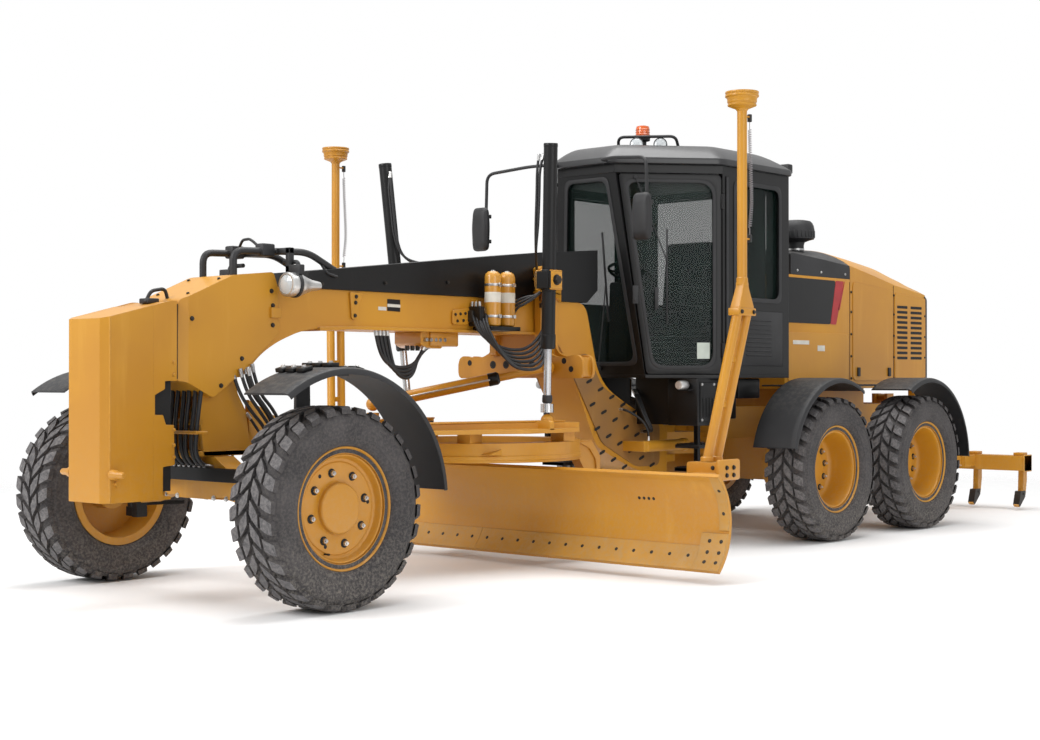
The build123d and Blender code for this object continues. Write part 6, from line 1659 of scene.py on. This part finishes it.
def make_hood():
    """The hood: panels parted by seams, side slots, latches, bolts and the rounded shoulder."""
    shape = bmesh.new()
    front = oblong((-HOOD_Y, HOOD_Y), (1.23, 2.215))
    add_cross_plate(shape, eased(front, [0.01, 0.01, 0.004, 0.004], 2), (5.66, 6.742), bevel=0.008)
    rows = []
    for back, edge, crown in ((6.748, 2.335, 2.503), (6.76, 2.337, 2.505), (7.15, 2.272, 2.472), (7.6, 2.19, 2.423),
                              (7.9, 2.157, 2.345), (8.15, 2.129, 2.258), (8.168, 2.122, 2.246)):
        rows.append(add_ring(shape, [(at(back), y, z) for y, z in crowned(1.23, edge, crown, HOOD_Y, 0.05)]))
    skin(shape, rows)
    finish_piece("hood_shell", shape, "rear_frame", yellow_paint, smooth=0.45, slot="yellow_paint", replaces=["hood"])

    gaps, bolts, panels, metal = bmesh.new(), bmesh.new(), bmesh.new(), bmesh.new()
    for side in (1, -1):
        y = side * HOOD_Y
        face = y + side * 0.006
        for corners, radius in (
            ([(6.79, 1.30), (7.52, 1.30), (7.52, 2.14), (6.79, 2.20)], 0.06),
            (oblong((5.70, 6.70), (1.29, 1.72)), 0.05),
            ([(7.56, 1.30), (8.13, 1.30), (8.13, 2.08), (7.56, 2.13)], 0.05),
        ):
            add_side_plate(panels, eased(corners, radius, 5), (y, face), bevel=0.003)
        # Dark plates for the side vents: painted shade standing in for their openings
        for k in range(11):
            z = 1.50 + 0.048 * k
            for span in ((7.60, 7.80), (7.86, 8.08)):
                add_side_plate(gaps, eased(oblong(span, (z, z + 0.026)), 0.008, 2), (face, y + side * 0.0068))
        for back in (6.74, 7.54):
            add_side_plate(gaps, oblong((back - 0.004, back + 0.004), (1.24, 2.19)), (y, y + side * 0.0012))
        for back in (6.86, 7.42):
            add_side_plate(metal, eased(oblong((back, back + 0.04), (1.34, 1.42)), 0.006, 2), (face, y + side * 0.02))
        for z in (1.32, 1.52, 1.72, 1.92, 2.1):
            add_side_bolts(bolts, y, ((6.765, z), (7.545, z)), 0.010)
            add_bolt(bolts, sideways(8.15, y, z), 0.008)
        add_side_bolts(bolts, y, [(back, 1.255) for back in (5.74, 6.0, 6.3, 6.62)], 0.009)
    finish_piece("hood_panels", panels, "rear_frame", yellow_paint)
    finish_piece("hood_slot_shade_and_seams", gaps, "rear_frame", dark_parts_and_painted_shade)
    finish_piece("hood_bolts", bolts, "rear_frame", dark_steel)
    finish_piece("hood_latches", metal, "rear_frame", black_plastic)


def make_hood_trim():
    """Black cap with its pre-cleaner and stack, side panel with its red stripe, rear grille and tail lamps."""
    shape = bmesh.new()
    cleaner = Matrix.Translation(point(6.40, 0.2, 0))
    rows = []
    for back, edge, crown, half in ((5.77, 2.395, 2.444, 0.54), (5.78, 2.403, 2.453, 0.549),
                                    (5.82, 2.403, 2.456, 0.55), (6.3, 2.371, 2.478, 0.55),
                                    (6.745, 2.335, 2.504, 0.55)):
        rows.append(add_ring(shape, [(at(back), y, z) for y, z in crowned(2.2155, edge, crown, half, 0.03)]))
    skin(shape, rows)
    add_lathe(shape, [(0.07, 2.40), (0.07, 2.52), (0.078, 2.545), (0.12, 2.562), (0.16, 2.572), (0.165, 2.59),
                      (0.165, 2.655),
                      (0.158, 2.69), (0.146, 2.716), (0.128, 2.734), (0.09, 2.742), (0, 2.745)], cleaner, 56)
    for k in range(28):
        turn = cleaner @ Matrix.Translation((0, 0, 2.615)) @ Matrix.Rotation(2 * math.pi * k / 28, 4, "Z")
        add_box(shape, (0.162, -0.007, -0.03), (0.1695, 0.007, 0.03), turn, 0.002)
    add_lathe(shape, [(0.052, 2.33), (0.052, 2.40), (0.056, 2.402), (0.056, 2.43), (0.052, 2.432), (0.052, 3.075),
                      (0.047, 3.08), (0.047, 2.98),
                      (0, 2.98)], Matrix.Translation(point(5.79, 0.4, 0)), 36)
    grille = oblong((-0.5, 0.5), (1.29, 2.12))
    place = Matrix(((0, 0, -1, at(8.172)), (1, 0, 0, 0), (0, 1, 0, 0), (0, 0, 0, 1)))
    add_frame(shape, eased(grille, 0.05, 5), eased(shrunk(grille, 0.07), 0.03, 5), place, 0.127, 0.006)
    for k in range(13):
        z = 1.375 + 0.055 * k
        add_cross_plate(shape, oblong((-0.44, 0.44), (z, z + 0.008)), (8.215, 8.29))
        add_cross_plate(shape, oblong((-0.44, 0.44), (z, z + 0.022)), (8.205, 8.217))
    for y in (-0.15, 0.15):
        add_block(shape, (8.21, 8.295), (y - 0.01, y + 0.01), (1.36, 2.05), 0.003)
    add_block(shape, (8.172, 8.20), (-0.45, 0.45), (1.34, 2.07), 0.002)
    finish_piece("hood_black_trim", shape, "rear_frame", black_plastic, smooth=0.5, slot="black_plastic",
                 replaces=["hood_trim"])
    stripe, panel = bmesh.new(), bmesh.new()
    for side in (1, -1):
        y = side * HOOD_Y
        add_side_plate(panel, eased([(5.70, 1.80), (6.40, 1.80), (6.49, 2.19), (5.70, 2.19)],
                                    [0.02, 0.02, 0.03, 0.02], 3),
                       (y, y + side * 0.004), bevel=0.001)
        add_side_plate(stripe, eased([(6.405, 1.80), (6.50, 1.80), (6.63, 2.19), (6.495, 2.19)], 0.012, 2),
                       (y, y + side * 0.004), bevel=0.001)
        add_side_plate(stripe, eased([(6.53, 1.93), (6.56, 1.93), (6.65, 2.19), (6.645, 2.19)], 0.004, 2),
                       (y, y + side * 0.004), bevel=0.001)
    finish_piece("side_black_panel", panel, "rear_frame", black_paint)
    finish_piece("side_red_stripe", stripe, "rear_frame", red_stripe)
    lamps = bmesh.new()
    for side in (1, -1):
        for z in (1.40, 1.55):
            add_block(lamps, (8.292, 8.305), (side * 0.445, side * 0.49), (z, z + 0.11), 0.006)
    finish_piece("tail_lamps", lamps, "rear_frame", red_lens)
    metal = bmesh.new()
    add_lathe(metal, [(0.0705, 2.47), (0.074, 2.472), (0.074, 2.488), (0.0705, 2.49)], cleaner, 32)
    for side in (1, -1):
        add_side_bolts(metal, side * HOOD_Y, [(back, 2.255) for back in (5.86, 6.25, 6.66)], 0.009)
    finish_piece("cap_bolts", metal, "rear_frame", bright_steel)
    plates = bmesh.new()
    for back, z, wide, tall in ((5.78, 1.615, 0.26, 0.035), (6.18, 1.56, 0.12, 0.05)):
        add_side_plate(plates, oblong((back, back + wide), (z, z + tall)), (0.556, 0.558))
    finish_piece("hood_blank_plates", plates, "rear_frame", white_band)


def add_fender(shape, centre_back, radius, start, end, inner, outer):
    """A moulded fender over a wheel; 0 degrees points forwards and 90 up. It has a rolled outer lip and a rib."""
    side = 1 if outer > 0 else -1
    width = abs(outer - inner)
    # Columns: share of the width from the inner edge, height over the nominal radius
    crest = ((0.0, 0.0), (0.02, 0.010), (0.06, 0.0135), (0.2, 0.0135), (0.23, 0.0138), (0.26, 0.0138), (0.29, 0.0135),
             (0.86, 0.0135), (0.93, 0.0125), (0.975, 0.006), (1.0, -0.012), (1.0, -0.028))
    under = ((0.988, -0.028), (0.985, -0.012), (0.96, -0.001), (0.9, 0.0))
    steps = 40
    rows = []
    for k in range(steps + 1):
        share = k / steps
        angle = math.radians(start + (end - start) * share)
        ring = []
        for across, lift in crest + under:
            reach = radius + lift
            ring.append(point(centre_back - reach * math.cos(angle), inner + side * width * across,
                              AXLE_Z + reach * math.sin(angle)))
        rows.append(add_ring(shape, ring))
    skin(shape, rows)


def make_fenders():
    """Front fenders on their posts and clamped straps, and the rear fenders on their decks."""
    for name, side in (("left", 1), ("right", -1)):
        shape = bmesh.new()
        add_fender(shape, 0.0, 0.79, 55, 175, side * 0.893, side * 1.281)
        post = eased([(-0.06, 0.84), (0.06, 0.84), (0.05, 1.362), (-0.05, 1.362)], 0.02, 3)
        add_side_plate(shape, post, (side * 0.848, side * 0.872), bevel=0.004)
        add_block(shape, (-0.06, 0.06), (side * 0.848, side * 1.20), (1.338, 1.362), 0.004)
        finish_piece(f"front_mudguard_{name}", shape, f"steer_{name}", black_plastic, smooth=0.5,
                     slot="black_plastic",
                     replaces=[f"front_fender_{name}"])
        clamps, bolts = bmesh.new(), bmesh.new()
        for angle in (76, 90, 104):
            a = math.radians(angle)
            outwards = Vector((math.cos(a), 0, math.sin(a)))
            for y in (0.93, 1.02, 1.11):
                hub = Vector((FRONT_AXLE_X, side * y, AXLE_Z))
                seat = along(hub + outwards * 0.8035, outwards)
                add_box(clamps, (-0.034, -0.036, 0), (0.034, 0.036, 0.026), seat, 0.005)
                add_bolt(bolts, along(hub + outwards * 0.829, outwards), 0.013)
        finish_piece(f"mudguard_clamps_{name}", clamps, f"steer_{name}", black_paint)
        finish_piece(f"mudguard_bolts_{name}", bolts, f"steer_{name}", bright_steel)
    shape = bmesh.new()
    for side in (1, -1):
        add_fender(shape, MID_AXLE_BACK, 0.728, 15, 120, side * 0.89, side * 1.287)
        add_fender(shape, REAR_AXLE_BACK, 0.728, 60, 178, side * 0.89, side * 1.287)
        deck = eased(oblong((5.30, 6.945), (side * 0.5503, side * 0.91)), 0.01, 2)
        add_floor_plate(shape, deck, (1.2535, 1.2665), bevel=0.003)
        for post in (MID_AXLE_BACK, REAR_AXLE_BACK):
            add_block(shape, (post - 0.03, post + 0.03), (side * 0.89, side * 0.902), (1.233, 1.308), 0.003)
    finish_piece("rear_mudguards", shape, "rear_frame", black_plastic, smooth=0.5, slot="black_plastic",
                 replaces=["rear_fenders"])
    shape = bmesh.new()
    for side in (1, -1):
        for k in range(28):
            for row in range(5):
                if (k + row) % 2:
                    continue
                x, y = 5.36 + 0.056 * k, 0.60 + 0.062 * row
                add_block(shape, (x, x + 0.034), (side * y, side * (y + 0.012)), (1.2665, 1.2685), 0.0)
        for back in (5.36, 5.8, 6.3, 6.88):
            add_bolt(shape, Matrix.Translation(point(back, side * 0.875, 1.2665)), 0.010)
    finish_piece("deck_tread", shape, "rear_frame", black_paint)


def make_axle_trim():
    """Gland rings and bolts on the front axle; covers, rings and bolts on the tandems."""
    metal, black, yellow = bmesh.new(), bmesh.new(), bmesh.new()
    cylinder_x = FRONT_AXLE_X - 0.26
    for side in (1, -1):
        for y in (0.08, 0.36):
            add_lathe(black, [(0.0362, 0), (0.0415, 0.002), (0.0415, 0.024), (0.0362, 0.026)],
                      along((cylinder_x, side * y, AXLE_Z), (0, side, 0)), 28)
        add_lathe(metal, [(0.017, 0), (0.036, 0.0), (0.038, 0.004), (0.038, 0.03), (0.03, 0.036), (0.017, 0.036)],
                  along((cylinder_x, side * 0.405, AXLE_Z), (0, side, 0)), 28)
        for z in (0.60, 0.76):
            for y in (0.18, 0.30, 0.42):
                add_bolt(metal, along((FRONT_AXLE_X + 0.11, side * y, z), (1, 0, 0)), 0.013)
    finish_piece("axle_gland_rings", black, "front_frame", black_paint)
    finish_piece("axle_bolts", metal, "front_frame", bright_steel)
    metal = bmesh.new()
    for side in (1, -1):
        y = side * 0.86
        cover = eased([(5.22, 0.45), (7.03, 0.45), (7.16, 0.54), (7.16, 0.64), (7.03, 0.74), (6.37, 0.79),
                       (5.88, 0.79), (5.22, 0.74), (5.09, 0.64), (5.09, 0.54)], 0.05, 3)
        add_side_plate(yellow, cover, (y, y + side * 0.008), bevel=0.003)
        spots = [(back, z) for back in (5.75, 5.95, 6.15, 6.35, 6.55) for z in (0.50, 0.72)]
        add_side_bolts(metal, y + side * 0.008, spots)
        for wheel in (MID_AXLE_BACK, REAR_AXLE_BACK):
            add_lathe(yellow, [(0.19, 0), (0.19, 0.016), (0.182, 0.022), (0.151, 0.022)],
                      sideways(wheel, y, AXLE_Z), 44)
    finish_piece("tandem_covers", yellow, "rear_frame", yellow_paint)
    finish_piece("tandem_bolts", metal, "rear_frame", dark_steel)


make_hood()
make_hood_trim()
make_fenders()
make_axle_trim()


# Hoses: each hangs between two fittings
def make_hoses():
    """The bundle under the nose, the loops about the saddle, under the beam and along the lift cylinders."""
    for k in range(7):
        y = 0.19 - 0.055 * k
        hose(f"nose_{k}", "front_frame", [
            (-0.20 - 0.012 * (k % 3), y, 1.36), (-0.22, y + 0.01, 1.25), (-0.245 + 0.01 * (k % 2), y + 0.015, 1.12),
            (-0.24, y * 0.95, 1.0), (-0.245 + 0.012 * (k % 2), y * 0.9, 0.88), (-0.19, y * 0.9, 0.80),
            (-0.13, y * 0.9, 0.79),
        ], 0.026)
    for k in range(5):
        y = 0.20 + 0.035 * (k % 3)
        hose(f"neck_{k}", "front_frame", [
            (0.02 + 0.03 * k, y, 1.36 + 0.01 * k), (0.04 + 0.03 * k, y + 0.02, 1.25),
            (0.12 + 0.04 * k, y + 0.05, 1.12),
            (0.22 + 0.035 * k, y + 0.06, 1.02 - 0.02 * k), (0.27 + 0.02 * k, y + 0.05, 0.9),
            (0.22, y + 0.02, 0.80 + 0.005 * k),
        ], 0.022)
    for k in range(6):
        low = 1.52 - 0.028 * k
        hose(f"saddle_{k}", "front_frame", [
            (2.14 + 0.02 * k, 0.205 + 0.025 * (k % 3), 1.80), (2.10, 0.25 + 0.02 * k, 1.72),
            (2.12 + 0.02 * k, 0.34 + 0.02 * k, low + 0.08),
            (2.28, 0.40 + 0.025 * k, low), (2.50, 0.42 + 0.025 * k, low + 0.01),
            (2.70 - 0.02 * k, 0.40 + 0.02 * k, low + 0.16),
            (2.78, 0.34, 1.82 + 0.02 * k), (2.83, 0.272, 1.86 + 0.025 * k),
        ], 0.023)
    for k in range(3):
        hose(f"arm_{k}", "front_frame", [
            (2.47, 0.20 + 0.035 * k, 1.70), (2.46, 0.24 + 0.035 * k, 1.82), (2.50, 0.34 + 0.03 * k, 1.90 - 0.02 * k),
            (2.62, 0.42 + 0.02 * k, 1.92 + 0.02 * k), (2.70, 0.38, 2.0 + 0.02 * k), (2.77, 0.31, 2.02 + 0.02 * k),
            (2.83, 0.272, 2.0 + 0.02 * k),
        ], 0.020)
    for k in range(4):
        hose(f"beam_{k}", "front_frame", [
            (1.30 + 0.035 * k, 0.10, 1.66), (1.31 + 0.035 * k, 0.11, 1.55), (1.37 + 0.03 * k, 0.12, 1.43 - 0.02 * k),
            (1.50 + 0.02 * k, 0.12, 1.39 - 0.025 * k), (1.64, 0.12, 1.41 - 0.02 * k), (1.72 - 0.01 * k, 0.115, 1.49),
            (1.76 + 0.02 * k, 0.11, 1.555),
        ], 0.026)
    for side, name in ((1, "left"), (-1, "right")):
        for k in range(2):
            inner = -0.062 + 0.024 * k
            hose(f"lift_{name}_{k}", "front_frame", [
                (2.245 + 0.02 * k, side * (0.80 + inner), 2.86), (2.235, side * (0.79 + inner), 2.78),
                (2.25, side * (0.775 + inner), 2.60), (2.26, side * (0.755 + inner), 2.38), (2.30, side * 0.66, 2.22),
                (2.42, side * 0.56, 2.16 + 0.02 * k), (2.56, side * 0.44, 2.12 + 0.02 * k), (2.66, side * 0.36, 2.08),
                (2.74, side * 0.29, 2.03), (2.79, side * 0.25, 2.0),
            ], 0.019)
        hose(f"steer_{name}", "front_frame", [
            (0.262, side * 0.12, 0.62), (0.275, side * 0.125, 0.70), (0.30, side * 0.15, 0.82),
            (0.28, side * 0.17, 0.95), (0.215, side * 0.16, 1.04), (0.17, side * 0.152, 1.10),
        ], 0.018)
        hose(f"artic_{name}", "front_frame", [
            (3.99, side * 0.36, 0.835), (3.99, side * 0.365, 0.91), (3.93, side * 0.34, 1.0),
            (3.86, side * 0.28, 1.06), (3.84, side * 0.22, 1.08), (3.84, side * 0.19, 1.08),
        ], 0.018)
        hose(f"ripper_{name}", "rear_frame", [
            (8.265, side * 0.16, 1.02), (8.30, side * 0.16, 0.96), (8.33, side * 0.19, 0.84),
            (8.31, side * 0.25, 0.73), (8.27, side * 0.30, 0.70),
        ], 0.018)
    for k in range(2):
        hose(f"cab_{k}", "front_frame", [
            (4.02 + 0.03 * k, 0.19, 1.22), (3.98 + 0.03 * k, 0.26, 1.16), (3.97 + 0.03 * k, 0.33, 1.02),
            (4.02 + 0.02 * k, 0.36, 0.92),
            (4.08 + 0.02 * k, 0.30, 0.90), (4.12 + 0.02 * k, 0.19, 0.90),
        ], 0.024)
    clamps, valves = bmesh.new(), bmesh.new()
    add_rod(clamps, point(-0.27, -0.2, 1.0), point(-0.27, 0.23, 1.0), 0.011)
    add_rod(clamps, point(-0.19, 0.215, 1.0), point(-0.27, 0.215, 1.0), 0.010)
    add_rod(clamps, point(-0.19, -0.185, 1.0), point(-0.27, -0.185, 1.0), 0.010)
    finish_piece("hose_clamp_rods", clamps, "front_frame", yellow_paint)
    for side in (1, -1):
        for k in range(4):
            add_block(valves, (2.80, 2.86), (side * 0.255, side * 0.285), (1.84 + 0.05 * k, 1.875 + 0.05 * k), 0.004)
        add_block(valves, (2.105, 2.165), (side * 0.183, side * 0.235), (1.72, 1.80), 0.004)
    for k in range(3):
        add_rod(valves, point(1.64 + 0.05 * k, 0.06, 1.515), point(1.64 + 0.05 * k, 0.06, 1.55), 0.016, 14)
    finish_piece("hose_blocks", valves, "front_frame", dark_steel)


make_hoses()


# Ripper
def make_ripper():
    """End caps and shank pads on the ripper's beam, and the shanks' bolted tips."""
    shape, tips, bolts = bmesh.new(), bmesh.new(), bmesh.new()
    for side in (1, -1):
        add_block(shape, (9.25, 9.43), (side * 1.045, side * 1.06), (0.385, 0.555), 0.006)
    for y in (-0.97, -0.485, 0.0, 0.485, 0.97):
        add_block(shape, (9.30, 9.415), (y - 0.05, y + 0.05), (0.545, 0.575), 0.006)
        for way in (-1, 1):
            add_lathe(bolts, [(0.018, 0), (0.018, 0.008), (0, 0.008)],
                      along(point(9.425, y + way * 0.027, 0.47), (0, way, 0)), 16)
        tip = eased([(9.30, 0.19), (9.255, 0.055), (9.28, 0.034), (9.40, 0.13), (9.41, 0.19)], 0.008, 2)
        add_side_plate(tips, tip, (y - 0.033, y + 0.033), bevel=0.004)
        add_lathe(bolts, [(0.012, 0), (0.012, 0.006), (0, 0.006)], along(point(9.36, y + 0.033, 0.16), (0, 1, 0)), 14)
    finish_piece("ripper_caps", shape, "ripper_beam", yellow_paint)
    finish_piece("ripper_tips", tips, "ripper_beam", dark_steel)
    finish_piece("ripper_bolts", bolts, "ripper_beam", dark_steel)


make_ripper()


# Floor, world and lamps
def make_studio():
    """A pale floor that fades into a white surround, with soft lamps."""
    world = bpy.data.worlds.new("surround")
    scene.world = world
    world.use_nodes = True
    tree = world.node_tree
    tree.nodes.clear()
    start = Shade(tree, None)
    rays = tree.nodes.new("ShaderNodeLightPath")
    seen = Shade(tree, rays.outputs["Is Camera Ray"])
    seen = seen.math("MAXIMUM", Shade(tree, rays.outputs["Is Transmission Ray"]))
    glossy = Shade(tree, rays.outputs["Is Glossy Ray"])
    direction = start.node("TexCoord", out="Generated")
    heights = tree.nodes.new("ShaderNodeSeparateXYZ")
    tree.links.new(direction.socket, heights.inputs[0])
    rise = Shade(tree, heights.outputs[2])
    ambient = 0.42 + 0.3 * rise.between(-0.2, 0.9)
    strength = seen.math("MAXIMUM", glossy * 0.5)
    level = strength + (1 - strength) * ambient
    shine = start.node("Background", None, Color=(1, 1, 1, 1), Strength=level)
    output = tree.nodes.new("ShaderNodeOutputWorld")
    tree.links.new(shine.socket, output.inputs[0])

    floor_mesh = bmesh.new()
    bmesh.ops.create_circle(floor_mesh, cap_ends=True, radius=24, segments=96)
    data = bpy.data.meshes.new("floor")
    floor_mesh.to_mesh(data)
    floor = bpy.data.objects.new("floor", data)
    floor.location.z = -0.001
    scene.collection.objects.link(floor)
    finish = Finish("floor_finish", Roughness=0.9)
    finish.feed("Base Color", finish.noise(0.8, 3).between(0.2, 0.8).mix((0.86, 0.86, 0.86, 1), (0.9, 0.9, 0.9, 1)))
    reach = finish.place.node("VectorMath", {"operation": "LENGTH"}, out="Value", n0=finish.place)
    clear = finish.start.node("BsdfTransparent", None, Color=(1, 1, 1, 1))
    fade = reach.between(6.5, 11.0)
    faded = finish.tree.nodes.new("ShaderNodeMixShader")
    finish.tree.links.new(fade.socket, faded.inputs[0])
    finish.tree.links.new(finish.shader.outputs[0], faded.inputs[1])
    finish.tree.links.new(clear.socket, faded.inputs[2])
    out = finish.tree.nodes["Material Output"]
    finish.tree.links.new(faded.outputs[0], out.inputs[0])
    data.materials.append(finish.material)

    # Columns: name, place, aimed at, size, watts
    for name, place, aim, size, watts in (
        ("key_lamp", (13, -3, 8), (1, 0, 1.2), 6, 950),
        ("fill_lamp", (5, 14, 5), (0, 0, 1.2), 8, 470), ("top_lamp", (0, 0, 11), (0, 0, 0), 9, 1100),
    ):
        lamp = bpy.data.lights.new(name, "AREA")
        lamp.size = size
        lamp.energy = watts
        holder = bpy.data.objects.new(name, lamp)
        holder.location = place
        holder.rotation_euler = (Vector(aim) - Vector(place)).to_track_quat("-Z", "Y").to_euler()
        scene.collection.objects.link(holder)


make_studio()
